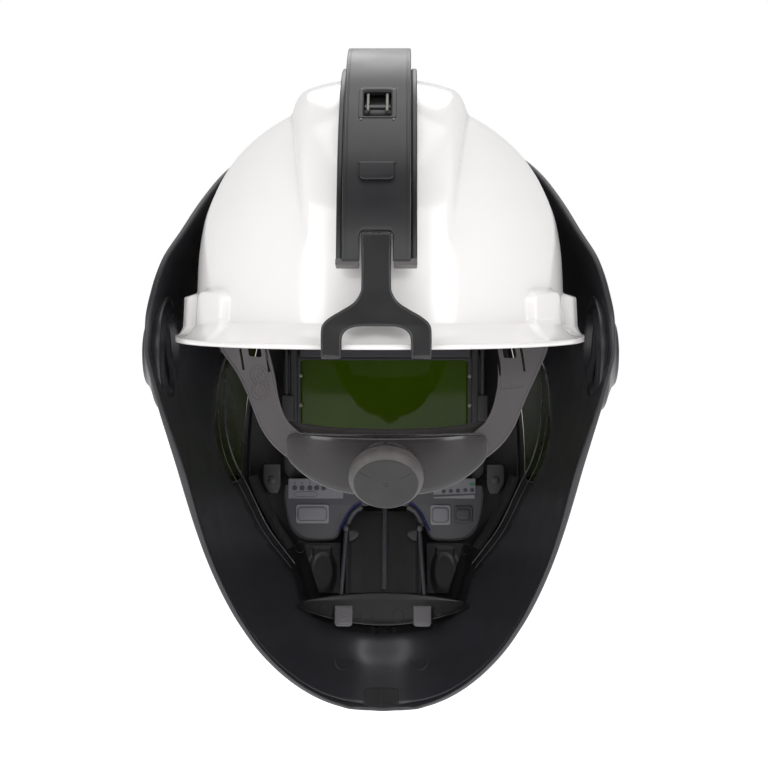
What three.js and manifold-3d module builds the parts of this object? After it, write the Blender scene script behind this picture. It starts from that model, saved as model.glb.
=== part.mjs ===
// Welding helmet with hard hat: a white safety helmet carrying a welding shield that
// slides up over the crown on an arched rail.  Units are millimetres, +Z is up, the
// helmet faces +Y, and the origin is the centre of the hat's rim plane (ear line).
import * as THREE from 'three';
import { mergeVertices } from 'three/addons/utils/BufferGeometryUtils.js';
import Module from 'manifold-3d';

const wasm = await Module();
wasm.setup();

// ---------------------------------------------------------------- driving dimensions
const CROWN_Z = 134.5;           // top of the plain dome, under the ridge
const HAT_WALL = 2.6;
const RIDGE_HEIGHT = 9.0;        // centre ridge over the plain dome
const RIDGE_HALF = 48.0;         // half width of the ridge at the crown
const RIDGE_REACH = 128.3;       // the ridge stays inside this radius, under the rail
const RIM_HALF_WIDTH = 112.8;
const RIM_REAR = 137.0;
const PEAK_FRONT = 146.0;
const RIM_THICK = 2.6;

const AXIS_Z = 16.0;             // lift axis: along X at y = 0, z = AXIS_Z
const RAIL_OUTER = 144.0;
const RAIL_INNER = 129.6;
const RAIL_FLANGE = 133.0;
const RAIL_HALF = 17.0;
const RAIL_FLANGE_HALF = 20.25;
const RAIL_WALL = 3.0;
const RAIL_FRONT_DEG = 28.0;     // angles about the lift axis, from +Y towards +Z
const RAIL_REAR_DEG = 169.2;
const LATCH_FROM_DEG = 127.4;
const LATCH_TO_DEG = 136.0;
const LATCH_HALF = 7.0;
const STOP_FROM_DEG = 148.5;
const STOP_TO_DEG = 152.5;
const STOP_HALF = 9.0;
const NOTCH_FROM_DEG = 163.0;
const NOTCH_HALF = 8.0;

const SHIELD_WALL = 2.6;
const SHIELD_CENTRE_Z = -55.7;   // middle of the filter window
const WINDOW_HALF_X = 60.0;      // opening in the shell
const WINDOW_HALF_Z = 41.0;
const GLASS_HALF_X = 53.4;       // dark filter glass
const GLASS_HALF_Z = 36.3;
const FRAME_HALF_X = 64.5;
const FRAME_HALF_Z = 41.6;
const PIVOT_Z = -9.0;            // round dishes in the side walls
const PIVOT_RADIUS = 16.0;

const KNOB_CENTRE = [0, -114.8, -63.9]; // middle of the knob's inner face
const KNOB_TILT_DEG = 36;                // the knob faces backward and down
const KNOB_RADIUS = 19.0;
const SWAY = 4.6;                         // sideways shift of the nape band and the knob
const GAP = 0.35;

// plain dome: half width and the half lengths to the rear and the front at each height
const DOME = [
  { z: 0.0, half: 102.6, rear: 125.5, front: 125.0 },
  { z: 8.0, half: 102.2, rear: 125.0, front: 124.5 },
  { z: 25.0, half: 101.3, rear: 123.0, front: 122.0 },
  { z: 43.0, half: 100.4, rear: 120.0, front: 118.0 },
  { z: 63.0, half: 97.4, rear: 114.0, front: 112.0 },
  { z: 83.0, half: 89.8, rear: 103.0, front: 100.0 },
  { z: 99.0, half: 79.8, rear: 89.0, front: 86.0 },
  { z: 112.0, half: 66.5, rear: 74.0, front: 71.0 },
  { z: 123.0, half: 49.5, rear: 57.0, front: 55.0 },
  { z: 129.0, half: 36.5, rear: 43.0, front: 41.0 },
  { z: 132.6, half: 23.0, rear: 27.0, front: 26.0 },
  { z: 134.1, half: 10.5, rear: 12.5, front: 12.0 },
  { z: 134.5, half: 0.6, rear: 0.6, front: 0.6 },
];
// welding shield: half width and depth of the free rear edge, depth of the front, and
// how square the level section is, at each height
const SHIELD = [
  { z: -235.0, half: 0.0, rear: 109.0, front: 109.0, square: 2.2, taper: 1.15 },
  { z: -233.6, half: 16.0, rear: 107.0, front: 110.6, square: 2.2, taper: 1.15 },
  { z: -230.4, half: 26.2, rear: 101.3, front: 113.0, square: 2.2, taper: 1.15 },
  { z: -224.5, half: 36.8, rear: 91.1, front: 117.0, square: 2.2, taper: 1.15 },
  { z: -216.4, half: 46.8, rear: 78.5, front: 122.0, square: 2.2, taper: 1.15 },
  { z: -204.0, half: 58.3, rear: 61.8, front: 128.5, square: 2.3, taper: 1.15 },
  { z: -192.6, half: 66.8, rear: 48.6, front: 134.5, square: 2.4, taper: 1.15 },
  { z: -181.7, half: 73.7, rear: 37.6, front: 140.0, square: 2.5, taper: 1.15 },
  { z: -171.4, half: 79.1, rear: 28.4, front: 145.5, square: 2.6, taper: 1.15 },
  { z: -161.3, half: 84.0, rear: 20.3, front: 151.5, square: 2.8, taper: 1.15 },
  { z: -142.0, half: 91.7, rear: 6.4, front: 161.5, square: 3.4, taper: 1.16 },
  { z: -123.4, half: 97.8, rear: -5.2, front: 169.5, square: 4.3, taper: 1.18 },
  { z: -105.6, half: 102.8, rear: -13.9, front: 174.0, square: 5.2, taper: 1.2 },
  { z: -88.2, half: 107.2, rear: -20.6, front: 176.5, square: 5.8, taper: 1.2 },
  { z: -71.2, half: 111.4, rear: -25.7, front: 178.0, square: 6.0, taper: 1.2 },
  { z: -54.5, half: 116.0, rear: -28.8, front: 178.5, square: 6.0, taper: 1.2 },
  { z: -38.0, half: 120.7, rear: -30.7, front: 178.5, square: 6.0, taper: 1.2 },
  { z: -21.6, half: 125.0, rear: -31.0, front: 178.0, square: 5.9, taper: 1.2 },
  { z: -5.3, half: 128.3, rear: -30.9, front: 177.0, square: 5.6, taper: 1.2 },
  { z: 11.0, half: 128.0, rear: -28.3, front: 175.5, square: 5.2, taper: 1.2 },
  { z: 27.2, half: 125.5, rear: -21.4, front: 173.0, square: 4.7, taper: 1.2 },
  { z: 43.7, half: 120.8, rear: -11.3, front: 169.5, square: 4.2, taper: 1.2 },
  { z: 60.6, half: 111.8, rear: 6.5, front: 164.5, square: 3.7, taper: 1.2 },
  { z: 78.2, half: 103.0, rear: 32.3, front: 157.0, square: 3.3, taper: 1.2 },
  { z: 96.7, half: 90.5, rear: 62.1, front: 146.0, square: 3.0, taper: 1.2 },
  { z: 109.0, half: 75.0, rear: 84.0, front: 136.0, square: 2.7, taper: 1.2 },
  { z: 116.0, half: 56.0, rear: 96.5, front: 128.0, square: 2.5, taper: 1.2 },
  { z: 120.0, half: 34.0, rear: 106.0, front: 120.5, square: 2.4, taper: 1.2 },
  { z: 122.0, half: 0.0, rear: 112.0, front: 112.0, square: 2.4, taper: 1.2 },
];
// green side windows: outer and inner edge of the pane at each height
const SIDE_WINDOW = [
  { z: -92.0, outer: 91.0, inner: 87.0 },
  { z: -84.0, outer: 94.5, inner: 87.5 },
  { z: -70.0, outer: 99.0, inner: 87.6 },
  { z: -52.0, outer: 101.5, inner: 86.8 },
  { z: -36.0, outer: 101.5, inner: 85.2 },
  { z: -20.0, outer: 99.0, inner: 82.5 },
  { z: -8.0, outer: 94.0, inner: 80.0 },
];
// plan curve of the nape band: depth at each distance from the middle
const NAPE = [
  { x: 0, y: -100.0 }, { x: 20, y: -98.8 }, { x: 36, y: -94.8 }, { x: 46, y: -90.2 },
  { x: 52, y: -86.6 }, { x: 60, y: -79.5 }, { x: 70, y: -69.0 }, { x: 80, y: -57.5 },
  { x: 92, y: -43.0 },
];
// nape band: upper and lower edge of the strip, from the hanger at the side to the middle
const NAPE_STRIP = [
  { upper_x: 61.0, upper_z: 16.0, lower_x: 91.5, lower_z: 14.0 },
  { upper_x: 60.0, upper_z: 6.0, lower_x: 90.5, lower_z: 5.0 },
  { upper_x: 59.1, upper_z: -4.2, lower_x: 87.4, lower_z: -4.8 },
  { upper_x: 58.2, upper_z: -14.0, lower_x: 81.5, lower_z: -14.0 },
  { upper_x: 57.0, upper_z: -23.7, lower_x: 75.6, lower_z: -24.5 },
  { upper_x: 54.6, upper_z: -33.0, lower_x: 71.0, lower_z: -34.5 },
  { upper_x: 51.2, upper_z: -39.4, lower_x: 66.6, lower_z: -44.0 },
  { upper_x: 46.5, upper_z: -43.7, lower_x: 59.8, lower_z: -52.6 },
  { upper_x: 42.0, upper_z: -46.5, lower_x: 50.0, lower_z: -59.6 },
  { upper_x: 32.0, upper_z: -49.0, lower_x: 37.0, lower_z: -66.0 },
  { upper_x: 16.0, upper_z: -50.0, lower_x: 18.0, lower_z: -69.0 },
  { upper_x: 0.0, upper_z: -50.0, lower_x: 0.0, lower_z: -70.0 },
];
// nape cover: upper and lower edge at each distance from the middle
const NAPE_COVER = [
  { x: 0, top: -46.3, low: -76.4 }, { x: 12, top: -46.2, low: -76.2 },
  { x: 22, top: -46.0, low: -75.2 }, { x: 33, top: -45.6, low: -72.0 },
  { x: 42, top: -45.2, low: -67.2 }, { x: 48, top: -45.4, low: -62.4 },
  { x: 51, top: -47.0, low: -59.0 }, { x: 52.2, top: -50.5, low: -55.5 },
];
const NAPE_PAD = [
  { x: 0, top: -43.0, low: -74.0 }, { x: 22, top: -42.6, low: -73.0 },
  { x: 36, top: -41.6, low: -69.5 }, { x: 46, top: -40.6, low: -64.0 },
  { x: 52, top: -40.2, low: -56.0 }, { x: 54.5, top: -41.5, low: -48.0 },
];

// ---------------------------------------------------------------- small tools
// shape-preserving cubic through the rows of a table
function curveOf(rows, key, col) {
  const xs = rows.map((r) => r[key]), ys = rows.map((r) => r[col]);
  const n = xs.length, h = [], d = [], m = new Array(n).fill(0);
  for (let i = 0; i < n - 1; i++) { h.push(xs[i + 1] - xs[i]); d.push((ys[i + 1] - ys[i]) / h[i]); }
  for (let i = 1; i < n - 1; i++) {
    if (d[i - 1] * d[i] > 0) {
      const w1 = 2 * h[i] + h[i - 1], w2 = h[i] + 2 * h[i - 1];
      m[i] = (w1 + w2) / (w1 / d[i - 1] + w2 / d[i]);
    }
  }
  m[0] = d[0]; m[n - 1] = d[n - 2];
  return (x) => {
    if (x <= xs[0]) return ys[0];
    if (x >= xs[n - 1]) return ys[n - 1];
    let i = 0;
    while (x > xs[i + 1]) i++;
    const t = (x - xs[i]) / h[i], t2 = t * t, t3 = t2 * t;
    return (2 * t3 - 3 * t2 + 1) * ys[i] + (t3 - 2 * t2 + t) * h[i] * m[i]
      + (-2 * t3 + 3 * t2) * ys[i + 1] + (t3 - t2) * h[i] * m[i + 1];
  };
}
const smooth = (a, b, v) => { const t = Math.min(1, Math.max(0, (v - a) / (b - a))); return t * t * (3 - 2 * t); };
const rad = (deg) => deg * Math.PI / 180;

function geometryOf(points, faces) {
  const g = new THREE.BufferGeometry();
  g.setAttribute('position', new THREE.Float32BufferAttribute(points.flat(), 3));
  g.setIndex(faces.flat());
  return faceOut(mergeVertices(g, 1e-4));
}
// turns the faces outward when the signed volume is negative
function faceOut(g) {
  const p = g.attributes.position, ix = g.index.array;
  let vol = 0;
  const a = new THREE.Vector3(), b = new THREE.Vector3(), c = new THREE.Vector3();
  for (let i = 0; i < ix.length; i += 3) {
    a.fromBufferAttribute(p, ix[i]); b.fromBufferAttribute(p, ix[i + 1]); c.fromBufferAttribute(p, ix[i + 2]);
    vol += a.dot(b.cross(c));
  }
  if (vol < 0) {
    const f = Array.from(ix);
    for (let i = 0; i < f.length; i += 3) { const t = f[i + 1]; f[i + 1] = f[i + 2]; f[i + 2] = t; }
    g.setIndex(f);
  }
  return g;
}
// a wall between two grids of points with the same rows and columns
function wallOf(outer, inner, { closed = false, capStart = false } = {}) {
  const rows = outer.length, cols = outer[0].length;
  const points = [...outer.flat(), ...inner.flat()];
  const off = rows * cols, faces = [];
  const id = (r, c) => r * cols + (c % cols);
  const last = closed ? cols : cols - 1;
  for (let r = 0; r < rows - 1; r++) {
    for (let c = 0; c < last; c++) {
      const a = id(r, c), b = id(r, c + 1), d = id(r + 1, c), e = id(r + 1, c + 1);
      faces.push([a, d, e], [a, e, b], [off + a, off + e, off + d], [off + a, off + b, off + e]);
    }
  }
  const strip = (p, q) => faces.push([p, q, off + q], [p, off + q, off + p]);
  for (let c = 0; c < last; c++) {
    if (capStart) {
      if (c > 0 && c < last - 1) {
        faces.push([id(0, 0), id(0, c), id(0, c + 1)], [off + id(0, 0), off + id(0, c + 1), off + id(0, c)]);
      }
    } else strip(id(0, c), id(0, c + 1));
    strip(id(rows - 1, c + 1), id(rows - 1, c));
  }
  if (!closed) {
    for (let r = 0; r < rows - 1; r++) { strip(id(r + 1, 0), id(r, 0)); strip(id(r, cols - 1), id(r + 1, cols - 1)); }
  }
  return geometryOf(points, faces);
}
// a closed section carried through a row of places, with flat ends
function loftOf(rings) {
  const n = rings[0].length, points = rings.flat(), faces = [];
  for (let k = 0; k < rings.length - 1; k++) {
    for (let i = 0; i < n; i++) {
      const j = (i + 1) % n, a = k * n + i, b = k * n + j, c = (k + 1) * n + i, d = (k + 1) * n + j;
      faces.push([a, b, d], [a, d, c]);
    }
  }
  const cap = (k, flip) => {
    const ring = rings[k];
    const o = new THREE.Vector3(...ring[0]);
    const normal = new THREE.Vector3();
    for (let i = 0; i < n; i++) {
      const p = new THREE.Vector3(...ring[i]).sub(o), q = new THREE.Vector3(...ring[(i + 1) % n]).sub(o);
      normal.add(p.cross(q));
    }
    normal.normalize();
    const u = new THREE.Vector3(...ring[1]).sub(o).normalize();
    const v = new THREE.Vector3().crossVectors(normal, u);
    const flat = ring.map((p) => { const w = new THREE.Vector3(...p).sub(o); return new THREE.Vector2(w.dot(u), w.dot(v)); });
    for (const [a, b, c] of THREE.ShapeUtils.triangulateShape(flat, [])) {
      faces.push(flip ? [k * n + a, k * n + c, k * n + b] : [k * n + a, k * n + b, k * n + c]);
    }
  };
  cap(0, true);
  cap(rings.length - 1, false);
  return geometryOf(points, faces);
}
// a section in (x, radius) swept about the lift axis
function arcOf(section, fromDeg, toDeg, steps) {
  const rings = [];
  for (let k = 0; k <= steps; k++) {
    const a = rad(fromDeg + (toDeg - fromDeg) * k / steps);
    rings.push(section.map(([x, r]) => [x, r * Math.cos(a), AXIS_Z + r * Math.sin(a)]));
  }
  return loftOf(rings);
}
// an outline in (x, z) given a thickness along Y
function plateOf(outline, y0, y1, holes = []) {
  const shape = new THREE.Shape(outline.map(([x, z]) => new THREE.Vector2(x, z)));
  for (const h of holes) shape.holes.push(new THREE.Path(h.map(([x, z]) => new THREE.Vector2(x, z))));
  const g = new THREE.ExtrudeGeometry(shape, { depth: y1 - y0, bevelEnabled: false, steps: 1 });
  g.rotateX(Math.PI / 2);
  g.translate(0, y1, 0);
  return clean(g);
}
function clean(g) {
  const c = g.index ? g.clone() : g;
  c.deleteAttribute('normal');
  c.deleteAttribute('uv');
  return faceOut(mergeVertices(c, 1e-4));
}
// a profile in (radius, along) turned about a line: dir is 'x' or 'y'
function turned(profile, dir, place, segments = 40) {
  const g = new THREE.LatheGeometry(profile.map(([r, h]) => new THREE.Vector2(r, h)), segments);
  if (dir === 'x') g.rotateZ(-Math.PI / 2);
  const c = clean(g);
  c.translate(...place);
  return c;
}
function roundedOutline(cx, cz, hx, hz, r, n = 5) {
  const out = [];
  for (const [sx, sz, a0] of [[1, 1, 0], [-1, 1, 90], [-1, -1, 180], [1, -1, 270]]) {
    for (let k = 0; k <= n; k++) {
      const a = rad(a0 + 90 * k / n);
      out.push([cx + sx * (hx - r) + r * Math.cos(a), cz + sz * (hz - r) + r * Math.sin(a)]);
    }
  }
  return out;
}
function solid(g) {
  const c = g.clone();
  return new wasm.Manifold(new wasm.Mesh({
    numProp: 3,
    vertProperties: Float32Array.from(c.attributes.position.array),
    triVerts: Uint32Array.from(c.index.array),
  }));
}
function geometry(m) {
  const mesh = m.getMesh();
  const g = new THREE.BufferGeometry();
  g.setAttribute('position', new THREE.Float32BufferAttribute(Array.from(mesh.vertProperties), mesh.numProp));
  g.setIndex(Array.from(mesh.triVerts));
  return g;
}
const mirrored = (g) => { const c = g.clone(); c.scale(-1, 1, 1); return faceOut(c); };
const box = (x0, x1, y0, y1, z0, z1) => {
  const g = new THREE.BoxGeometry(x1 - x0, y1 - y0, z1 - z0);
  g.translate((x0 + x1) / 2, (y0 + y1) / 2, (z0 + z1) / 2);
  return clean(g);
};

// ---------------------------------------------------------------- hat
const domeHalf = curveOf(DOME, 'z', 'half'), domeRear = curveOf(DOME, 'z', 'rear'), domeFront = curveOf(DOME, 'z', 'front');
const oval = (phi, a, b, n) => 1 / Math.pow(Math.pow(Math.abs(Math.cos(phi)) / a, n) + Math.pow(Math.abs(Math.sin(phi)) / b, n), 1 / n);
function domeNormal(x, y, z) {
  return new THREE.Vector3(x / 102 ** 2, y / 123 ** 2, Math.max(0, z - 35) / 100 ** 2).normalize();
}
function ridge(x, y, z) {
  // a crease where the ridge starts, then a rounded shoulder
  const half = RIDGE_HALF - 11.5 * Math.min(1, Math.abs(y) / 118) ** 2;
  const shoulder = 3 + 9 * smooth(48, 125, z);
  const u = Math.min(1, (half - Math.abs(x)) / shoulder);
  return u <= 0 ? 0 : RIDGE_HEIGHT * smooth(48, 104, z) * u * (2 - u);
}
const block = (v, half, edge) => 1 - smooth(half - edge, half + edge, Math.abs(v));
function lug(x, y, z) {
  const side = 7.2 * block(y, 19, 4) * block(z - 14.5, 9.5, 2.2);
  const bx = Math.abs(x) - 84, by = y + 68;
  const along = (bx * 0.63 + by * 0.777);
  const rear = (y < 0 ? 4.6 : 0) * block(along, 15, 4) * block(z - 17.5, 10, 3);
  return Math.max(side, rear);
}
function domePoint(phi, z, offset = 0) {
  const a = domeHalf(z), b = Math.sin(phi) < 0 ? domeRear(z) : domeFront(z);
  const r = oval(phi, a, b, 2.12);
  const p = new THREE.Vector3(r * Math.cos(phi), r * Math.sin(phi), z);
  const n = domeNormal(p.x, p.y, p.z);
  p.addScaledVector(n, ridge(p.x, p.y, p.z));
  const reach = Math.hypot(p.y, p.z - AXIS_Z);
  if (Math.abs(p.x) < 30 && reach > RIDGE_REACH) {
    const k = RIDGE_REACH / reach, w = 1 - smooth(23, 30, Math.abs(p.x)), s = 1 + (k - 1) * w;
    p.y *= s; p.z = AXIS_Z + (p.z - AXIS_Z) * s;
  }
  if (offset === 0) {
    const out = new THREE.Vector3(n.x, n.y, 0).normalize();
    p.addScaledVector(out, lug(p.x, p.y, p.z));
  } else p.addScaledVector(n, -offset);
  return [p.x, p.y, p.z];
}
const DOME_ROWS = [134.2, 132, 126, 116, 104, 89, 70, 48, 30, 24.5, 15];
const rimHalf = (phi) => oval(phi, RIM_HALF_WIDTH, Math.sin(phi) < 0 ? RIM_REAR : PEAK_FRONT, Math.sin(phi) < 0 ? 2.35 : 2.1);
const blendOf = (phi) => { const s = Math.sin(phi); return { rear: s < 0 ? smooth(0, 1, -s) : 0, front: s > 0 ? smooth(0.35, 1, s) : 0 }; };
const wallFoot = (phi) => { const b = blendOf(phi); return 7 + 5 * b.rear + 2 * b.front; };
const rimTop = (phi) => { const b = blendOf(phi); return 2.3 - 0.2 * b.rear - 7.8 * b.front; };
function hatShell() {
  const COLS = 48, outer = [], inner = [];
  const phis = Array.from({ length: COLS }, (_, c) => 2 * Math.PI * (c + 0.5) / COLS);
  for (const z of DOME_ROWS) {
    outer.push(phis.map((f) => domePoint(f, z)));
    inner.push(phis.map((f) => domePoint(f, z, HAT_WALL)));
  }
  const foot = (f, inset, drop) => { const z = wallFoot(f), p = domePoint(f, z, 0.01), r = Math.hypot(p[0], p[1]) - inset; return [r * Math.cos(f), r * Math.sin(f), z - drop]; };
  outer.push(phis.map((f) => foot(f, 0, 0)));
  inner.push(phis.map((f) => foot(f, HAT_WALL, 1.0)));
  for (const s of [0.5, 1]) {
    outer.push(phis.map((f) => { const q = foot(f, 0, 0), r0 = Math.hypot(q[0], q[1]), r = r0 + (rimHalf(f) - r0) * s, sag = 1.1 * Math.sin(Math.PI * s); return [r * Math.cos(f), r * Math.sin(f), q[2] + (rimTop(f) - q[2]) * s - sag]; }));
    inner.push(phis.map((f) => { const q = foot(f, HAT_WALL, 1.0), r0 = Math.hypot(q[0], q[1]), r = r0 + (rimHalf(f) - r0) * s, sag = 1.1 * Math.sin(Math.PI * s); return [r * Math.cos(f), r * Math.sin(f), q[2] + (rimTop(f) - RIM_THICK - q[2]) * s - sag]; }));
  }
  return wallOf(outer, inner, { closed: true, capStart: true });
}

// ---------------------------------------------------------------- rail, hook, front clip
function crownRail() {
  const h = RAIL_HALF, f = RAIL_FLANGE_HALF, w = RAIL_WALL;
  const section = [[-f, RAIL_INNER], [-f, RAIL_FLANGE], [-h, RAIL_FLANGE], [-h, RAIL_OUTER - 1.2], [-h + 1.2, RAIL_OUTER],
    [h - 1.2, RAIL_OUTER], [h, RAIL_OUTER - 1.2], [h, RAIL_FLANGE], [f, RAIL_FLANGE], [f, RAIL_INNER],
    [h - w, RAIL_INNER], [h - w, RAIL_OUTER - w], [-h + w, RAIL_OUTER - w], [-h + w, RAIL_INNER]];
  let rail = solid(arcOf(section, RAIL_FRONT_DEG, RAIL_REAR_DEG, 30));
  const bar = (x, r0, r1, a0, a1) => solid(arcOf([[-x, r0], [-x, r1], [x, r1], [x, r0]], a0, a1, 2));
  rail = rail.subtract(bar(LATCH_HALF, RAIL_OUTER - 6, RAIL_OUTER + 4, LATCH_FROM_DEG, LATCH_TO_DEG));
  rail = rail.add(bar(STOP_HALF, RAIL_OUTER - 2, RAIL_OUTER + 2.2, STOP_FROM_DEG, STOP_TO_DEG));
  rail = rail.subtract(bar(NOTCH_HALF, RAIL_OUTER - 6, RAIL_OUTER + 4, NOTCH_FROM_DEG, RAIL_REAR_DEG + 3));
  return geometry(rail);
}
function rearHook() {
  const half = [[7.3, 57], [7.3, 31], [8.2, 27], [11.5, 22.5], [17, 19], [22.5, 15.8], [26.2, 12.6], [27.2, 9], [27.2, -2.0],
    [17.0, -2.0], [17.0, 5.5], [15.4, 9.2], [12.0, 10.9], [6, 11.3]];
  const outline = [...half, ...half.slice().reverse().map(([x, z]) => [-x, z])];
  let hook = solid(plateOf(outline, -141.2, -138.0));
  for (const s of [-1, 1]) {
    const x0 = Math.min(s * 17, s * 27.2), x1 = Math.max(s * 17, s * 27.2);
    hook = hook.add(solid(box(x0, x1, -141.2, -129.0, -4.6, -1.9)));
  }
  return geometry(hook);
}
function frontClip() {
  // strap from the end of the rail down to the peak, with a lip under the peak's edge
  const side = [[132.6, 73.4], [136.2, 67.0], [139.6, 45], [140.2, 26], [141.6, 12], [148.6, -2.6], [148.6, -10.4], [137, -10.4],
    [137, -8.4], [146.5, -8.4], [146.5, -4.6], [138.4, 8.8], [137.4, 24], [136.8, 44], [133.6, 66], [130.2, 72.2]];
  const rings = [-11, 11].map((x) => side.map(([y, z]) => [x, y, z]));
  return loftOf(rings);
}

// ---------------------------------------------------------------- head harness
const napeY = curveOf(NAPE, 'x', 'y');
function strip(tabl, y0, y1, rows) {
  const top = curveOf(tabl, 'x', 'top'), low = curveOf(tabl, 'x', 'low'), end = tabl[tabl.length - 1].x;
  const outer = [], inner = [], n = 16;
  for (let k = 0; k <= rows; k++) {
    const o = [], i = [];
    for (let c = 0; c <= n; c++) {
      const x = -end + 2 * end * c / n, a = Math.abs(x), t = k / rows;
      const z = top(a) + (low(a) - top(a)) * t;
      o.push([x, napeY(a) + y0, z]);
      i.push([x, napeY(a) + y1, z]);
    }
    outer.push(o); inner.push(i);
  }
  return wallOf(outer, inner);
}
function napeBand() {
  const rows = [...NAPE_STRIP.map((r) => ({ ...r, s: 1 })), ...NAPE_STRIP.slice(0, -1).reverse().map((r) => ({ ...r, s: -1 }))];
  const outer = [], inner = [];
  for (const r of rows) {
    const o = [], i = [];
    for (let k = 0; k <= 3; k++) {
      const t = k / 3, x = r.upper_x + (r.lower_x - r.upper_x) * t, z = r.upper_z + (r.lower_z - r.upper_z) * t;
      o.push([r.s * x, napeY(x) - 1.35, z]);
      i.push([r.s * x, napeY(x) + 1.35, z]);
    }
    outer.push(o); inner.push(i);
  }
  return wallOf(outer, inner);
}
function napeCover() {
  let cover = solid(strip(NAPE_COVER, -5.2, -2.0, 3));
  const boss = onKnobAxis([[0, 0.45], [15.4, 0.45], [16.6, 1.4], [17.0, 3.0], [16.4, 5.2], [12.5, 9], [9, 14], [9, 26], [0, 26]], 28);
  cover = cover.add(solid(boss).intersect(solid(box(-30, 30, -140, -102.1, -100, -20))));
  return geometry(cover);
}
// the band sits a little to the right of the hat's middle, more so further down
function sway(shape) {
  const at = shape.getAttribute('position');
  for (let i = 0; i < at.count; i++) {
    const t = Math.min(1, Math.max(0, (16 - at.getZ(i)) / 38));
    at.setX(i, at.getX(i) + SWAY * t * t * (3 - 2 * t));
  }
  return shape;
}
// a turned shape on the knob's tilted axis; the second number runs from the knob's inner face towards the head
function onKnobAxis(profile, segments) {
  const shape = turned(profile, 'y', [0, 0, 0], segments);
  shape.rotateX(KNOB_TILT_DEG * Math.PI / 180);
  shape.translate(...KNOB_CENTRE);
  return shape;
}
function ratchetKnob() {
  const r = KNOB_RADIUS;
  return onKnobAxis([[0, -8.6], [r - 2.9, -8.6], [r - 1.6, -8.0], [r - 0.5, -6.0], [r, -4.4], [r - 0.2, 0], [0, 0]], 28);
}
function browBand() {
  const outer = [], inner = [], n = 26;
  for (const z of [24, -7]) {
    const o = [], i = [];
    for (let k = 0; k <= n; k++) {
      const a = rad(-25 + 230 * k / n), r = oval(a, 89, Math.sin(a) < 0 ? 96 : 101, 2.2);
      o.push([r * Math.cos(a), r * Math.sin(a), z]);
      i.push([(r - 2.4) * Math.cos(a), (r - 2.4) * Math.sin(a), z]);
    }
    outer.push(o); inner.push(i);
  }
  return wallOf(outer, inner);
}
function crownStrap(alongX, low) {
  const half = alongX ? 84 : 92, rise = 92 - low, base = 24.4, n = 18, rings = [];
  for (let k = 0; k <= n; k++) {
    const a = Math.PI * k / n, u = half * Math.cos(a), w = base + rise * Math.pow(Math.sin(a), 0.8);
    const c = Math.cos(a), s = Math.sin(a);
    const len = Math.hypot(c / half, s / rise), nu = (c / half) / len, nw = (s / rise) / len;
    const p = [u, w], q = [u + 1.6 * nu, w + 1.6 * nw];
    if (k === 0 || k === n) { q[1] = p[1] = base; q[0] = p[0] + 1.6 * Math.sign(u); }
    const at = (v, [uu, ww]) => (alongX ? [uu, v, ww] : [v, uu, ww]);
    rings.push([at(-9, p), at(9, p), at(9, q), at(-9, q)]);
  }
  return loftOf(rings);
}

// ---------------------------------------------------------------- welding shield
const sHalf = curveOf(SHIELD, 'z', 'half'), sRear = curveOf(SHIELD, 'z', 'rear'), sFront = curveOf(SHIELD, 'z', 'front');
const sSquare = curveOf(SHIELD, 'z', 'square'), sTaper = curveOf(SHIELD, 'z', 'taper');
function shieldDepth(x, z) {
  const w = sHalf(z);
  if (w <= 1e-6) return sRear(z);
  const t = Math.min(1, Math.abs(x) / w);
  return sRear(z) + (sFront(z) - sRear(z)) * Math.pow(1 - Math.pow(t, sSquare(z)), 1 / sTaper(z));
}
function edgeRadius(phi) {
  let lo = 20, hi = 300;
  for (let k = 0; k < 60; k++) {
    const m = (lo + hi) / 2, z = SHIELD_CENTRE_Z + m * Math.sin(phi);
    const inside = z < 122 && z > -235 && Math.abs(m * Math.cos(phi)) < sHalf(z);
    if (inside) lo = m; else hi = m;
  }
  return lo;
}
function shieldNormal(x, z) {
  const k = 0.997, cx = x * k, cz = SHIELD_CENTRE_Z + (z - SHIELD_CENTRE_Z) * k, h = 0.05;
  const sx = (shieldDepth(cx + h, cz) - shieldDepth(cx - h, cz)) / (2 * h);
  const sz = (shieldDepth(cx, cz + h) - shieldDepth(cx, cz - h)) / (2 * h);
  return new THREE.Vector3(-sx, 1, -sz).normalize();
}
function shieldPoint(phi, rho, offset) {
  const x = rho * Math.cos(phi), z = SHIELD_CENTRE_Z + rho * Math.sin(phi);
  const p = new THREE.Vector3(x, shieldDepth(x, z), z);
  if (offset) p.addScaledVector(shieldNormal(x, z), -offset);
  return p;
}
// places along one ray of the shell, evenly spaced along the surface
function rayPlaces(phi, from, rows) {
  const R = edgeRadius(phi), fine = 240, rho = [], len = [0];
  for (let k = 0; k <= fine; k++) rho.push(from + (R - from) * (1 - Math.pow(1 - k / fine, 2.6)));
  for (let k = 1; k <= fine; k++) len.push(len[k - 1] + shieldPoint(phi, rho[k], 0).distanceTo(shieldPoint(phi, rho[k - 1], 0)));
  const out = [];
  for (let j = 0; j <= rows; j++) {
    const want = len[fine] * j / rows;
    let k = 1;
    while (k < fine && len[k] < want) k++;
    const t = (want - len[k - 1]) / Math.max(1e-9, len[k] - len[k - 1]);
    out.push(rho[k - 1] + (rho[k] - rho[k - 1]) * t);
  }
  out[rows] = R;
  return out;
}
function shieldLayer(cols, rows, start, from, to) {
  const outer = [], inner = [];
  const phis = Array.from({ length: cols }, (_, c) => 2 * Math.PI * (c + 0.5) / cols);
  const places = phis.map((f) => rayPlaces(f, start(f), rows));
  for (let j = 0; j <= rows; j++) {
    outer.push(phis.map((f, c) => shieldPoint(f, places[c][j], from).toArray()));
    inner.push(phis.map((f, c) => shieldPoint(f, places[c][j], to).toArray()));
  }
  return wallOf(outer, inner, { closed: true });
}
const windowStart = (phi) => oval(phi, WINDOW_HALF_X, WINDOW_HALF_Z, 7);
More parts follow.
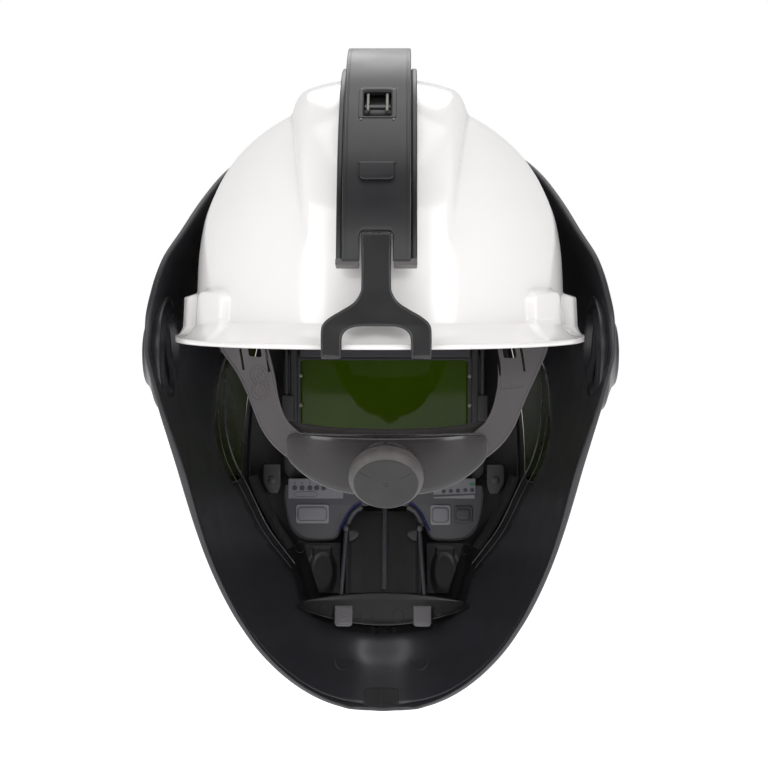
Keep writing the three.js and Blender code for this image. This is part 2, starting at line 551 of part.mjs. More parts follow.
const swOuter = curveOf(SIDE_WINDOW, 'z', 'outer'), swInner = curveOf(SIDE_WINDOW, 'z', 'inner');
function sideWindowOutline(shrink) {
  const z0 = SIDE_WINDOW[0].z + shrink, z1 = SIDE_WINDOW[SIDE_WINDOW.length - 1].z - shrink, n = 8, out = [];
  for (let k = 0; k <= n; k++) { const z = z0 + (z1 - z0) * k / n; out.push([swInner(z) + shrink, z]); }
  for (let k = n; k >= 0; k--) { const z = z0 + (z1 - z0) * k / n; out.push([swOuter(z) - shrink, z]); }
  return out;
}
function pivotDish() {
  const g = turned([[0, 125.4], [16, 125.4], [21.4, 118.2], [23.6, 117.8], [27.5, 121.0], [31, 122.6], [31, 125.0],
    [27, 126.4], [19.6, 129.6], [17.4, 131.7], [0, 131.9]], 'x', [0, 0, 0], 20);
  g.rotateZ(rad(4.2));
  g.translate(0, 0, PIVOT_Z);
  return g;
}
function shieldShell() {
  let shell = solid(shieldLayer(64, 9, windowStart, 0, SHIELD_WALL));
  const cutter = solid(plateOf(sideWindowOutline(0), 60, 200));
  const hole = turned([[0, 100], [24, 100], [24, 150], [0, 150]], 'x', [0, 0, 0], 20);
  hole.rotateZ(rad(4.2));
  hole.translate(0, 0, PIVOT_Z);
  const dish = pivotDish();
  shell = shell.subtract(cutter).subtract(solid(mirrored(plateOf(sideWindowOutline(0), 60, 200))));
  shell = shell.subtract(solid(hole)).subtract(solid(mirrored(hole)));
  shell = shell.add(solid(dish)).add(solid(mirrored(dish)));
  return geometry(shell);
}
function sideWindow() {
  const layer = solid(shieldLayer(64, 9, windowStart, 0.5, 2.3));
  return geometry(layer.intersect(solid(plateOf(sideWindowOutline(GAP), 60, 200))));
}
function filterFrame() {
  return plateOf(roundedOutline(0, SHIELD_CENTRE_Z, FRAME_HALF_X, FRAME_HALF_Z, 9), 153.6, 161.0,
    [roundedOutline(0, SHIELD_CENTRE_Z, GLASS_HALF_X, GLASS_HALF_Z, 2.5).reverse()]);
}
const filterGlass = () => plateOf(roundedOutline(0, SHIELD_CENTRE_Z, GLASS_HALF_X - GAP, GLASS_HALF_Z - GAP, 2.3), 156.6, 160.2);
const coverPlate = () => plateOf(roundedOutline(0, SHIELD_CENTRE_Z, 57.0, 38.0, 9), 166.2, 167.8);
function controlPanel() {
  const half = [[0, -98.2], [62.0, -98.2], [63.2, -104], [61.6, -117], [58.4, -126], [53.0, -131.4], [46, -133.4], [36, -133.4],
    [30.6, -132.2], [28.0, -128], [24.9, -120], [19.6, -113.4], [10, -111.2], [0, -111.0]];
  const outline = [...half, ...half.slice(1, -1).reverse().map(([x, z]) => [-x, z])];
  return plateOf(outline, 140.4, 143.6);
}
const key = (x0, x1, z0, z1) => plateOf(roundedOutline((x0 + x1) / 2, (z0 + z1) / 2, (x1 - x0) / 2, (z1 - z0) / 2, 2), 138.6, 140.05);
function chinPanel() {
  // leaning floor between the control panel and the chin plate, with the ribs of the nose channel
  const prof = (x0, x1, a, b, t) => loftOf([x0, x1].map((x) => [[x, a[0], a[1]], [x, b[0], b[1]], [x, b[0] + t, b[1]], [x, a[0] + t, a[1]]]));
  const top = [147.0, -116.0], low = [121.5, -161.0];
  let panel = solid(prof(-23.6, 23.6, top, low, 3));
  for (const s of [-1, 1]) {
    const rings = [[s * 23.2, -129.0, 136.6, 26.4], [s * 23.2, -161.6, 111.0, 27.6]];
    const rib = loftOf(rings.map(([x, z, y, x2]) => [[x, y, z], [s * x2, y, z], [s * x2, y + (z > -140 ? 6 : 11), z], [x, y + (z > -140 ? 6 : 11), z]]));
    panel = panel.add(solid(rib));
  }
  const mid = loftOf([[-0.9, 0.9]].flatMap(([a, b]) => [[a, b]]).flatMap(([a, b]) => [
    [[a, 143.0, -116.4], [b, 143.0, -116.4], [b, 148.4, -116.4], [a, 148.4, -116.4]],
    [[a, 117.6, -161.0], [b, 117.6, -161.0], [b, 123.0, -161.0], [a, 123.0, -161.0]]]));
  panel = panel.add(solid(mid));
  for (const s of [-1, 1]) {
    const wing = [[27, -134.2], [51, -134.2], [47.5, -147], [43, -158], [41, -161], [27, -161]].map(([x, z]) => [s * x, z]);
    const yAt = (z) => 121.5 + (z + 161) * (25.5 / 45);
    const lo = wing.map(([x, z]) => [x, yAt(z), z]), hi = wing.map(([x, z]) => [x, yAt(z) + 3, z]);
    panel = panel.add(solid(loftOf([lo, hi])));
  }
  return geometry(panel);
}
function chinPlate() {
  // curved ledge under the chin panel: upper edge, lower edge and depth across the width
  const outer = [], inner = [], n = 16;
  for (let k = 0; k <= 2; k++) {
    const o = [], i = [];
    for (let c = 0; c <= n; c++) {
      const x = -53 + 106 * c / n, t = Math.abs(x) / 53;
      const top = -162.2 - 4.2 * t ** 2, low = -181.4 + 13.4 * t ** 2.0, z = top + (low - top) * k / 2;
      const y = 115.0 - 8.5 * k / 2 - 10.5 * t ** 2;
      o.push([x, y, z]); i.push([x, y + 2.6, z]);
    }
    outer.push(o); inner.push(i);
  }
  return wallOf(outer, inner);
}
function chinTab() {
  return loftOf([18.6, 29.8].map((x) => [[x, 104.8, -168.6], [x, 98.9, -180.4], [x, 100.7, -181.4], [x, 106.8, -169.2]]));
}
const sideClip = () => plateOf([[64.5, -84], [76, -84], [76.5, -96], [72.5, -103.5], [66.4, -103.5], [64.5, -98]], 136.4, 140.4);
function sideTrim() {
  // slim rail beside the side window, from the clip down to the chin
  const at = (x, z, t) => new THREE.Vector3(x, shieldDepth(x, z), z).addScaledVector(shieldNormal(x, z), -t).toArray();
  const rings = [[86.0, -92.0], [82.5, -102.0], [77.0, -114.0], [70.0, -127.0], [62.0, -139.0]]
    .map(([x, z]) => [at(x - 1.4, z, 6.6), at(x + 1.4, z, 6.6), at(x + 1.4, z, 3.6), at(x - 1.4, z, 3.6)]);
  return loftOf(rings);
}
function railCarriage() {
  const top = RAIL_OUTER + 1.0;
  const section = [[-20.4, 134.2], [-20.4, 147.6], [20.4, 147.6], [20.4, 134.2], [17.8, 134.2], [17.8, top], [-17.8, top], [-17.8, 134.2]];
  let c = solid(arcOf(section, 34.0, 56.7, 8));
  c = c.add(solid(arcOf([[-9, 147], [-9, 152.6], [9, 152.6], [9, 147]], 37.5, 41.5, 2)));
  return geometry(c);
}

// ---------------------------------------------------------------- the assembly
const FINISH = {
  hat_white: { color: 0xf1f0ee, roughness: 0.28, metalness: 0 },
  rail_black: { color: 0x2d2c2f, roughness: 0.42, metalness: 0 },
  hook_black: { color: 0x3a393b, roughness: 0.34, metalness: 0 },
  harness_grey: { color: 0x59565a, roughness: 0.45, metalness: 0 },
  cover_grey: { color: 0x494647, roughness: 0.3, metalness: 0 },
  pad_dark: { color: 0x1e1a18, roughness: 0.9, metalness: 0 },
  strap_grey: { color: 0x39383a, roughness: 0.8, metalness: 0 },
  knob_grey: { color: 0x3a3839, roughness: 0.5, metalness: 0 },
  shield_black: { color: 0x242326, roughness: 0.45, metalness: 0 },
  filter_green: { color: 0x192100, roughness: 0.06, metalness: 0 },
  window_green: { color: 0x14180b, roughness: 0.1, metalness: 0 },
  frame_black: { color: 0x1d1c1e, roughness: 0.4, metalness: 0 },
  clear_cover: { color: 0xc8d0cc, roughness: 0.05, metalness: 0 },
  panel_grey: { color: 0x484448, roughness: 0.5, metalness: 0 },
  key_light: { color: 0x6b686c, roughness: 0.5, metalness: 0 },
  key_dark: { color: 0x2d2b2b, roughness: 0.4, metalness: 0 },
  tab_grey: { color: 0x5f5d60, roughness: 0.5, metalness: 0 },
};
const part = new THREE.Group();
function piece(parent, name, geom, finish) {
  const mesh = new THREE.Mesh(geom, new THREE.MeshStandardMaterial(FINISH[finish]));
  mesh.name = name;
  parent.add(mesh);
}
const hat = new THREE.Group(), knob = new THREE.Group(), shield = new THREE.Group();
part.add(hat, knob, shield);

piece(hat, 'hat_shell', hatShell(), 'hat_white');
piece(hat, 'crown_rail', crownRail(), 'rail_black');
piece(hat, 'rear_hook', rearHook(), 'hook_black');
piece(hat, 'front_clip', frontClip(), 'rail_black');
piece(hat, 'brow_band', browBand(), 'harness_grey');
piece(hat, 'nape_band', sway(napeBand()), 'harness_grey');
piece(hat, 'nape_cover', sway(napeCover()), 'cover_grey');
piece(hat, 'nape_pad', sway(strip(NAPE_PAD, 3.2, 7.6, 2)), 'pad_dark');
piece(hat, 'crown_strap_side', crownStrap(true, 2.6), 'strap_grey');
piece(hat, 'crown_strap_long', crownStrap(false, 0), 'strap_grey');
piece(knob, 'ratchet_knob', sway(ratchetKnob()), 'knob_grey');
piece(shield, 'shield_shell', shieldShell(), 'shield_black');
piece(shield, 'rail_carriage', railCarriage(), 'rail_black');
piece(shield, 'side_window_right', sideWindow(), 'window_green');
piece(shield, 'side_window_left', mirrored(sideWindow()), 'window_green');
piece(shield, 'filter_frame', filterFrame(), 'frame_black');
piece(shield, 'filter_glass', filterGlass(), 'filter_green');
piece(shield, 'cover_plate', coverPlate(), 'clear_cover');
piece(shield, 'control_panel', controlPanel(), 'panel_grey');
piece(shield, 'key_left', key(-55.5, -34.5, -123.6, -112.2), 'key_light');
piece(shield, 'key_middle', key(29.0, 42.0, -124.8, -113.0), 'key_light');
piece(shield, 'key_right', key(44.2, 56.2, -124.6, -113.2), 'key_dark');
piece(shield, 'chin_panel', chinPanel(), 'frame_black');
piece(shield, 'chin_plate', chinPlate(), 'frame_black');
piece(shield, 'chin_tab_right', chinTab(), 'tab_grey');
piece(shield, 'chin_tab_left', mirrored(chinTab()), 'tab_grey');
piece(shield, 'side_clip_right', sideClip(), 'frame_black');
piece(shield, 'side_clip_left', mirrored(sideClip()), 'frame_black');
piece(shield, 'side_trim_right', sideTrim(), 'frame_black');
piece(shield, 'side_trim_left', mirrored(sideTrim()), 'frame_black');

export default part;
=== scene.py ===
import bpy, bmesh, math
import numpy as np
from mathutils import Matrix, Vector


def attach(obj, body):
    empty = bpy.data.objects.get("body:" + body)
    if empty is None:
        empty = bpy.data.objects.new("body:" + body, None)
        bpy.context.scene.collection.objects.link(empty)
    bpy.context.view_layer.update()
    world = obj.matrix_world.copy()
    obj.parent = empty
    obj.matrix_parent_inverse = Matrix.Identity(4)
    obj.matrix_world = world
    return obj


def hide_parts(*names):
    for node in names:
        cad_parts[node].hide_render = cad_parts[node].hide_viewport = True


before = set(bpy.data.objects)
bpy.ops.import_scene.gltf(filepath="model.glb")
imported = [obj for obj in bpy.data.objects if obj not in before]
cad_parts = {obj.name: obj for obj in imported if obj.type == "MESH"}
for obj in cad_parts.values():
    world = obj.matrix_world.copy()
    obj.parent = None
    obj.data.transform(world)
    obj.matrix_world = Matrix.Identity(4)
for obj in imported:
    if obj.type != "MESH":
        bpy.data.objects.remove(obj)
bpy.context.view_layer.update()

MM = 0.001
AXIS_Z = 16.0
CENTRE_Z = -55.7
KNOB_Z = -65.6

# ------------------------------------------------------------------ tables
DOME = dict(
    z=[0, 8, 25, 43, 63, 83, 99, 112, 123, 129, 132.6, 134.1, 134.5],
    half=[102.6, 102.2, 101.3, 100.4, 97.4, 89.8, 79.8, 66.5, 49.5, 36.5, 23.0, 10.5, 0.6],
    rear=[125.5, 125.0, 123.0, 120.0, 114.0, 103.0, 89.0, 74.0, 57.0, 43.0, 27.0, 12.5, 0.6],
    front=[125.0, 124.5, 122.0, 118.0, 112.0, 100.0, 86.0, 71.0, 55.0, 41.0, 26.0, 12.0, 0.6],
)
SHIELD_ROWS = [
    # height, half width, rear edge, front, squareness, taper
    (-235.0, 0.0, 109.0, 109.0, 2.2, 1.15),
    (-233.6, 16.0, 107.0, 110.6, 2.2, 1.15),
    (-230.4, 26.2, 101.3, 113.0, 2.2, 1.15),
    (-224.5, 36.8, 91.1, 117.0, 2.2, 1.15),
    (-216.4, 46.8, 78.5, 122.0, 2.2, 1.15),
    (-204.0, 58.3, 61.8, 128.5, 2.3, 1.15),
    (-192.6, 66.8, 48.6, 134.5, 2.4, 1.15),
    (-181.7, 73.7, 37.6, 140.0, 2.5, 1.15),
    (-171.4, 79.1, 28.4, 145.5, 2.6, 1.15),
    (-161.3, 84.0, 20.3, 151.5, 2.8, 1.15),
    (-142.0, 91.7, 6.4, 161.5, 3.4, 1.16),
    (-123.4, 97.8, -5.2, 169.5, 4.3, 1.18),
    (-105.6, 102.8, -13.9, 174.0, 5.2, 1.2),
    (-88.2, 107.2, -20.6, 176.5, 5.8, 1.2),
    (-71.2, 111.4, -25.7, 178.0, 6.0, 1.2),
    (-54.5, 116.0, -28.8, 178.5, 6.0, 1.2),
    (-38.0, 120.7, -30.7, 178.5, 6.0, 1.2),
    (-21.6, 125.0, -31.0, 178.0, 5.9, 1.2),
    (-5.3, 128.3, -30.9, 177.0, 5.6, 1.2),
    (11.0, 128.0, -28.3, 175.5, 5.2, 1.2),
    (27.2, 125.5, -21.4, 173.0, 4.7, 1.2),
    (43.7, 120.8, -11.3, 169.5, 4.2, 1.2),
    (60.6, 111.8, 6.5, 164.5, 3.7, 1.2),
    (78.2, 103.0, 32.3, 157.0, 3.3, 1.2),
    (96.7, 90.5, 62.1, 146.0, 3.0, 1.2),
    (109.0, 75.0, 84.0, 136.0, 2.7, 1.2),
    (116.0, 56.0, 96.5, 128.0, 2.5, 1.2),
    (120.0, 34.0, 106.0, 120.5, 2.4, 1.2),
    (122.0, 0.0, 112.0, 112.0, 2.4, 1.2),
]
SIDE_WINDOW = dict(z=[-92, -84, -70, -52, -36, -20, -8],
                   outer=[91, 94.5, 99, 101.5, 101.5, 99, 94],
                   inner=[87, 87.5, 87.6, 86.8, 85.2, 82.5, 80])
NAPE = dict(x=[0, 20, 36, 46, 52, 60, 70, 80, 92],
            y=[-100, -98.8, -94.8, -90.2, -86.6, -79.5, -69, -57.5, -43])


# ------------------------------------------------------------------ number tools
def curve_of(xs, ys):
    """Shape-preserving cubic through the rows of a table."""
    xs, ys = np.asarray(xs, float), np.asarray(ys, float)
    h, d = np.diff(xs), np.diff(ys) / np.diff(xs)
    m = np.zeros(len(xs))
    for i in range(1, len(xs) - 1):
        if d[i - 1] * d[i] > 0:
            w1, w2 = 2 * h[i] + h[i - 1], h[i] + 2 * h[i - 1]
            m[i] = (w1 + w2) / (w1 / d[i - 1] + w2 / d[i])
    m[0], m[-1] = d[0], d[-1]

    def f(x):
        x = np.clip(np.asarray(x, float), xs[0], xs[-1])
        i = np.clip(np.searchsorted(xs, x, side="right") - 1, 0, len(xs) - 2)
        t = (x - xs[i]) / h[i]
        t2, t3 = t * t, t * t * t
        return ((2 * t3 - 3 * t2 + 1) * ys[i] + (t3 - 2 * t2 + t) * h[i] * m[i]
                + (-2 * t3 + 3 * t2) * ys[i + 1] + (t3 - t2) * h[i] * m[i + 1])
    return f


def smooth(a, b, v):
    t = np.clip((np.asarray(v, float) - a) / (b - a), 0, 1)
    return t * t * (3 - 2 * t)


def rad(d):
    return d * math.pi / 180


# ------------------------------------------------------------------ mesh tools
def mesh_object(name, verts, faces, material, smooth_angle=35, sharp=None):
    """verts in millimetres."""
    me = bpy.data.meshes.new(name)
    me.from_pydata([tuple(float(c) * MM for c in v) for v in verts], [], [tuple(int(i) for i in f) for f in faces])
    me.validate()
    ob = bpy.data.objects.new(name, me)
    bpy.context.scene.collection.objects.link(ob)
    tidy(ob, smooth_angle)
    if material:
        me.materials.append(material)
    return ob


def tidy(ob, smooth_angle=35, merge=2e-6):
    me = ob.data
    bm = bmesh.new()
    bm.from_mesh(me)
    bmesh.ops.remove_doubles(bm, verts=bm.verts, dist=merge)
    bmesh.ops.dissolve_degenerate(bm, dist=1e-7, edges=bm.edges)
    bmesh.ops.recalc_face_normals(bm, faces=bm.faces)
    lim = math.radians(smooth_angle)
    for f in bm.faces:
        f.smooth = True
    for e in bm.edges:
        if len(e.link_faces) == 2:
            e.smooth = e.calc_face_angle(0.0) < lim
    bm.to_mesh(me)
    bm.free()
    me.update()


def rings_object(name, rings, material, closed_cols=True, closed_rows=True, smooth_angle=35, cap=False):
    """A skin over rings of points (mm): rings[r][c]."""
    rings = np.asarray(rings, float)
    R, C = rings.shape[:2]
    idx = np.arange(R * C).reshape(R, C)
    rr = R if closed_rows else R - 1
    cc = C if closed_cols else C - 1
    faces = []
    for r in range(rr):
        a, b = idx[r], idx[(r + 1) % R]
        for c in range(cc):
            d = (c + 1) % C
            faces.append((a[c], b[c], b[d], a[d]))
    if cap:
        faces.append(tuple(idx[0][::-1]))
        faces.append(tuple(idx[-1]))
    return mesh_object(name, rings.reshape(-1, 3), faces, material, smooth_angle)


def rim_arc(o, i, n=4, bulge=0.5):
    """Makes no rows: returns an empty list (o, i, n and bulge are not used)."""
    out = []
    return out


def wall_object(name, outer, inner, material, closed_cols=True, round_start=True, round_end=True, smooth_angle=40, n=4):
    """Outer and inner grids (rows, cols, 3) joined round rounded edges; open columns are closed flat."""
    outer, inner = np.asarray(outer, float), np.asarray(inner, float)

    def arc(o, prev, i):
        # half circle from o to i, bulging away from prev
        mid, half = (o + i) / 2, (o - i) / 2
        away = o - prev
        away = away / np.maximum(np.linalg.norm(away, axis=1, keepdims=True), 1e-9)
        r = np.linalg.norm(half, axis=1, keepdims=True)
        axis = half / np.maximum(r, 1e-9)
        away = away - axis * np.sum(away * axis, axis=1, keepdims=True)
        away = away / np.maximum(np.linalg.norm(away, axis=1, keepdims=True), 1e-9)
        rows = []
        for k in range(1, n + 1):
            a = math.pi * k / (n + 1)
            rows.append(mid + axis * r * math.cos(a) + away * r * 0.85 * math.sin(a))
        return rows
    rings = list(outer)
    if round_end:
        rings += arc(outer[-1], outer[-2], inner[-1])
    rings += list(inner[::-1])
    if round_start:
        rings += arc(inner[0], inner[1], outer[0])
    rings = np.array(rings)
    if closed_cols:
        return rings_object(name, rings, material, True, True, smooth_angle)
    # open columns: cap both ends with an n-gon of the ring column
    R, C = rings.shape[:2]
    idx = np.arange(R * C).reshape(R, C)
    faces = []
    for r in range(R):
        a, b = idx[r], idx[(r + 1) % R]
        for c in range(C - 1):
            faces.append((a[c], b[c], b[c + 1], a[c + 1]))
    faces.append(tuple(idx[:, 0][::-1]))
    faces.append(tuple(idx[:, -1]))
    return mesh_object(name, rings.reshape(-1, 3), faces, material, smooth_angle)


def smooth_outline(points, closed=True, step=1.0):
    """Catmull-Rom through (a, b) points, resampled; a point given twice stays a corner."""
    P = np.asarray(points, float)
    n = len(P)
    out = []
    rng = n if closed else n - 1
    for i in range(rng):
        p0, p1, p2, p3 = P[(i - 1) % n], P[i], P[(i + 1) % n], P[(i + 2) % n]
        if not closed:
            if i == 0:
                p0 = p1
            if i + 2 >= n:
                p3 = p2
        L = np.linalg.norm(p2 - p1)
        if L < 1e-6:
            continue
        k = max(1, int(round(L / step)))
        for j in range(k):
            t = j / k
            out.append(0.5 * ((2 * p1) + (-p0 + p2) * t + (2 * p0 - 5 * p1 + 4 * p2 - p3) * t * t
                              + (-p0 + 3 * p1 - 3 * p2 + p3) * t ** 3))
    if not closed:
        out.append(P[-1])
    return [tuple(q) for q in out]


def rounded(cx, cz, hx, hz, r, n=6):
    out = []
    for sx, sz, a0 in ((1, 1, 0), (-1, 1, 90), (-1, -1, 180), (1, -1, 270)):
        for k in range(n + 1):
            a = rad(a0 + 90 * k / n)
            out.append((cx + sx * (hx - r) + r * math.cos(a), cz + sz * (hz - r) + r * math.sin(a)))
    return out


def plate(name, outline, y0, y1, material, bevel=0.5, holes=(), res=3, smooth_angle=50):
    """An outline in (x, z) with a thickness along Y and rounded edges, rear face at y0."""
    cu = bpy.data.curves.new(name, "CURVE")
    cu.dimensions = "2D"
    cu.fill_mode = "BOTH"
    for ring in (outline, *holes):
        sp = cu.splines.new("POLY")
        sp.points.add(len(ring) - 1)
        for p, (x, z) in zip(sp.points, ring):
            p.co = (x, z, 0, 1)
        sp.use_cyclic_u = True
    half = (y1 - y0) / 2
    bevel = min(bevel, half * 0.98)
    cu.extrude = half - bevel
    cu.bevel_depth = bevel
    cu.bevel_resolution = res
    cu.offset = -bevel
    ob = bpy.data.objects.new(name, cu)
    bpy.context.scene.collection.objects.link(ob)
    dg = bpy.context.evaluated_depsgraph_get()
    dg.update()
    me = bpy.data.meshes.new_from_object(ob.evaluated_get(dg))
    bpy.data.objects.remove(ob)
    bpy.data.curves.remove(cu)
    for v in me.vertices:
        x, z, d = v.co
        v.co = (x * MM, ((y0 + y1) / 2 - d) * MM, z * MM)
    me.name = name
    new = bpy.data.objects.new(name, me)
    bpy.context.scene.collection.objects.link(new)
    me.materials.clear()
    me.materials.append(material)
    tidy(new, smooth_angle)
    return new


def slice_x(ob, step, axis="x"):
    """Cuts the mesh into strips so that it can be bent."""
    bm = bmesh.new()
    bm.from_mesh(ob.data)
    k = "xyz".index(axis)
    vals = [v.co[k] for v in bm.verts]
    lo, hi = min(vals), max(vals)
    no = [0, 0, 0]
    no[k] = 1
    n = int((hi - lo) / (step * MM))
    for i in range(1, n + 1):
        co = [0, 0, 0]
        co[k] = lo + (hi - lo) * i / (n + 1)
        bmesh.ops.bisect_plane(bm, geom=bm.verts[:] + bm.edges[:] + bm.faces[:], plane_co=co, plane_no=no, dist=1e-6)
    bm.to_mesh(ob.data)
    bm.free()


def bend(ob, fn, smooth_angle=50):
    """fn takes (n, 3) mm and gives (n, 3) mm."""
    me = ob.data
    co = np.empty(len(me.vertices) * 3)
    me.vertices.foreach_get("co", co)
    new = fn(co.reshape(-1, 3) / MM) * MM
    me.vertices.foreach_set("co", new.reshape(-1))
    me.update()
    tidy(ob, smooth_angle)


def lathe(name, profile, centre, direction, material, segments=96, smooth_angle=35):
    """profile rows (radius, along); direction 'x', '-x' or 'y'."""
    rings = []
    for r, h in profile:
        ring = []
        for k in range(segments):
            a = 2 * math.pi * k / segments
            c, s = r * math.cos(a), r * math.sin(a)
            if direction == "y":
                ring.append((centre[0] + c, centre[1] + h, centre[2] + s))
            elif direction == "x":
                ring.append((centre[0] + h, centre[1] + c, centre[2] + s))
            else:
                ring.append((centre[0] - h, centre[1] + c, centre[2] + s))
        rings.append(ring)
    return rings_object(name, rings, material, True, False, smooth_angle)


def boolean(ob, others, op="DIFFERENCE", smooth_angle=35, keep=False):
    for other in others:
        m = ob.modifiers.new("cut", "BOOLEAN")
        m.operation = op
        m.solver = "EXACT"
        m.object = other
    dg = bpy.context.evaluated_depsgraph_get()
    dg.update()
    me = bpy.data.meshes.new_from_object(ob.evaluated_get(dg))
    ob.modifiers.clear()
    old = ob.data
    mats = [m for m in old.materials]
    ob.data = me
    me.materials.clear()
    for m in mats:
        me.materials.append(m)
    for p in me.polygons:
        p.material_index = 0
    bpy.data.meshes.remove(old)
    if not keep:
        for other in others:
            bpy.data.objects.remove(other)
    tidy(ob, smooth_angle)
    return ob


def join(obs, name):
    """Several meshes as one piece; material slots are kept."""
    verts, faces, mats, index = [], [], [], []
    for o in obs:
        base = len(verts)
        verts += [tuple(v.co) for v in o.data.vertices]
        slot = {}
        for k, m in enumerate(o.data.materials):
            if m not in mats:
                mats.append(m)
            slot[k] = mats.index(m)
        for p in o.data.polygons:
            faces.append(tuple(base + i for i in p.vertices))
            index.append((slot.get(p.material_index, 0), p.use_smooth))
    sharp = set()
    for o in obs:
        pass
    me = bpy.data.meshes.new(name)
    me.from_pydata(verts, [], faces)
    for m in mats:
        me.materials.append(m)
    for p, (s, f) in zip(me.polygons, index):
        p.material_index = s
        p.use_smooth = f
    for o in obs:
        bpy.data.objects.remove(o)
    ob = bpy.data.objects.new(name, me)
    bpy.context.scene.collection.objects.link(ob)
    bm = bmesh.new()
    bm.from_mesh(me)
    for e in bm.edges:
        if len(e.link_faces) == 2:
            e.smooth = e.calc_face_angle(0.0) < math.radians(38)
    bm.to_mesh(me)
    bm.free()
    return ob


def tube(name, path, radius, material, sides=10, closed=False):
    """A round bead along points (mm)."""
    P = np.asarray(path, float)
    n = len(P)
    rings = []
    prev = None
    for i in range(n):
        a = P[(i - 1) % n] if (closed or i > 0) else P[i]
        b = P[(i + 1) % n] if (closed or i < n - 1) else P[i]
        t = b - a
        t = t / max(np.linalg.norm(t), 1e-9)
        if prev is None:
            ref = np.array([0, 1.0, 0]) if abs(t[1]) < 0.9 else np.array([1.0, 0, 0])
            u = np.cross(t, ref)
        else:
            u = prev - t * np.dot(prev, t)
        u = u / np.linalg.norm(u)
        prev = u
        w = np.cross(t, u)
        r = radius if np.isscalar(radius) else radius[i]
        rings.append([P[i] + r * (math.cos(2 * math.pi * k / sides) * u + math.sin(2 * math.pi * k / sides) * w) for k in range(sides)])
    return rings_object(name, rings, material, True, closed, 60, cap=not closed)


# ------------------------------------------------------------------ materials
def new_material(name):
    m = bpy.data.materials.new(name)
    m.use_nodes = True
    nt = m.node_tree
    nt.nodes.clear()
    out = nt.nodes.new("ShaderNodeOutputMaterial")
    bs = nt.nodes.new("ShaderNodeBsdfPrincipled")
    nt.links.new(bs.outputs[0], out.inputs[0])
    return m, nt, bs


def srgb(r, g, b):
    f = lambda v: v / 255 / 12.92 if v / 255 <= 0.04045 else ((v / 255 + 0.055) / 1.055) ** 2.4
    return (f(r), f(g), f(b), 1)


def noise(nt, scale, detail=4, rough=0.55, coords=None, stretch=None):
    n = nt.nodes.new("ShaderNodeTexNoise")
    n.inputs["Scale"].default_value = scale
    n.inputs["Detail"].default_value = detail
    n.inputs["Roughness"].default_value = rough
    src = coords
    if stretch:
        mp = nt.nodes.new("ShaderNodeMapping")
        mp.inputs["Scale"].default_value = stretch
        nt.links.new(coords, mp.inputs[0])
        src = mp.outputs[0]
    if src:
        nt.links.new(src, n.inputs["Vector"])
    return n.outputs[0]


def ramp(nt, fac, stops):
    r = nt.nodes.new("ShaderNodeValToRGB")
    el = r.color_ramp.elements
    while len(el) < len(stops):
        el.new(0.5)
    for e, (p, c) in zip(el, stops):
        e.position = p
        e.color = c
    nt.links.new(fac, r.inputs[0])
    return r.outputs[0]


def remap(nt, fac, lo, hi, a=0.0, b=1.0):
    m = nt.nodes.new("ShaderNodeMapRange")
    m.inputs["From Min"].default_value = a
    m.inputs["From Max"].default_value = b
    m.inputs["To Min"].default_value = lo
    m.inputs["To Max"].default_value = hi
    nt.links.new(fac, m.inputs[0])
    return m.outputs[0]


def bump(nt, height, strength, distance, normal=None):
    b = nt.nodes.new("ShaderNodeBump")
    b.inputs["Strength"].default_value = strength
    b.inputs["Distance"].default_value = distance
    nt.links.new(height, b.inputs["Height"])
    if normal:
        nt.links.new(normal, b.inputs["Normal"])
    return b.outputs[0]


def plastic(name, rgb, rough, spread=0.06, grain=900, grain_strength=0.12, grain_depth=0.00004, var=0.12, coat=0.0, coat_rough=0.1, edge=0.25, spec=0.5, cloud=14, dust=0.0):
    """Moulded plastic: slight colour clouds, uneven gloss, fine grain and paler rubbed edges."""
    m, nt, bs = new_material(name)
    tc = nt.nodes.new("ShaderNodeTexCoord").outputs["Object"]
    base = srgb(*rgb)
    dark = tuple(c * (1 - var) for c in base[:3]) + (1,)
    lite = tuple(min(1, c * (1 + var)) for c in base[:3]) + (1,)
    clouds = noise(nt, cloud, 5, 0.6, tc)
    col = ramp(nt, clouds, [(0.3, dark), (0.7, lite)])
    if edge > 0:
        geo = nt.nodes.new("ShaderNodeNewGeometry")
        rub = ramp(nt, geo.outputs["Pointiness"], [(0.52, (0, 0, 0, 1)), (0.62, (edge, edge, edge, 1))])
        spots = noise(nt, 160, 3, 0.6, tc)
        mul = nt.nodes.new("ShaderNodeMath")
        mul.operation = "MULTIPLY"
        nt.links.new(rub, mul.inputs[0])
        nt.links.new(spots, mul.inputs[1])
        mx = nt.nodes.new("ShaderNodeMix")
        mx.data_type = "RGBA"
        nt.links.new(mul.outputs[0], mx.inputs[0])
        nt.links.new(col, mx.inputs[6])
        mx.inputs[7].default_value = tuple(min(1, c * 2.2 + 0.02) for c in base[:3]) + (1,)
        col = mx.outputs[2]
    if dust > 0:
        specks = noise(nt, 520, 2, 0.5, tc)
        d = ramp(nt, specks, [(0.76, (0, 0, 0, 1)), (0.80, (dust, dust, dust, 1))])
        mx = nt.nodes.new("ShaderNodeMix")
        mx.data_type = "RGBA"
        nt.links.new(d, mx.inputs[0])
        nt.links.new(col, mx.inputs[6])
        mx.inputs[7].default_value = (0.5, 0.5, 0.52, 1)
        col = mx.outputs[2]
    nt.links.new(col, bs.inputs["Base Color"])
    rn = noise(nt, 45, 4, 0.6, tc)
    nt.links.new(remap(nt, rn, rough - spread, rough + spread, 0.3, 0.7), bs.inputs["Roughness"])
    bs.inputs["Specular IOR Level"].default_value = spec
    if coat:
        bs.inputs["Coat Weight"].default_value = coat
        bs.inputs["Coat Roughness"].default_value = coat_rough
    g = noise(nt, grain, 2, 0.5, tc)
    nt.links.new(bump(nt, g, grain_strength, grain_depth), bs.inputs["Normal"])
    return m


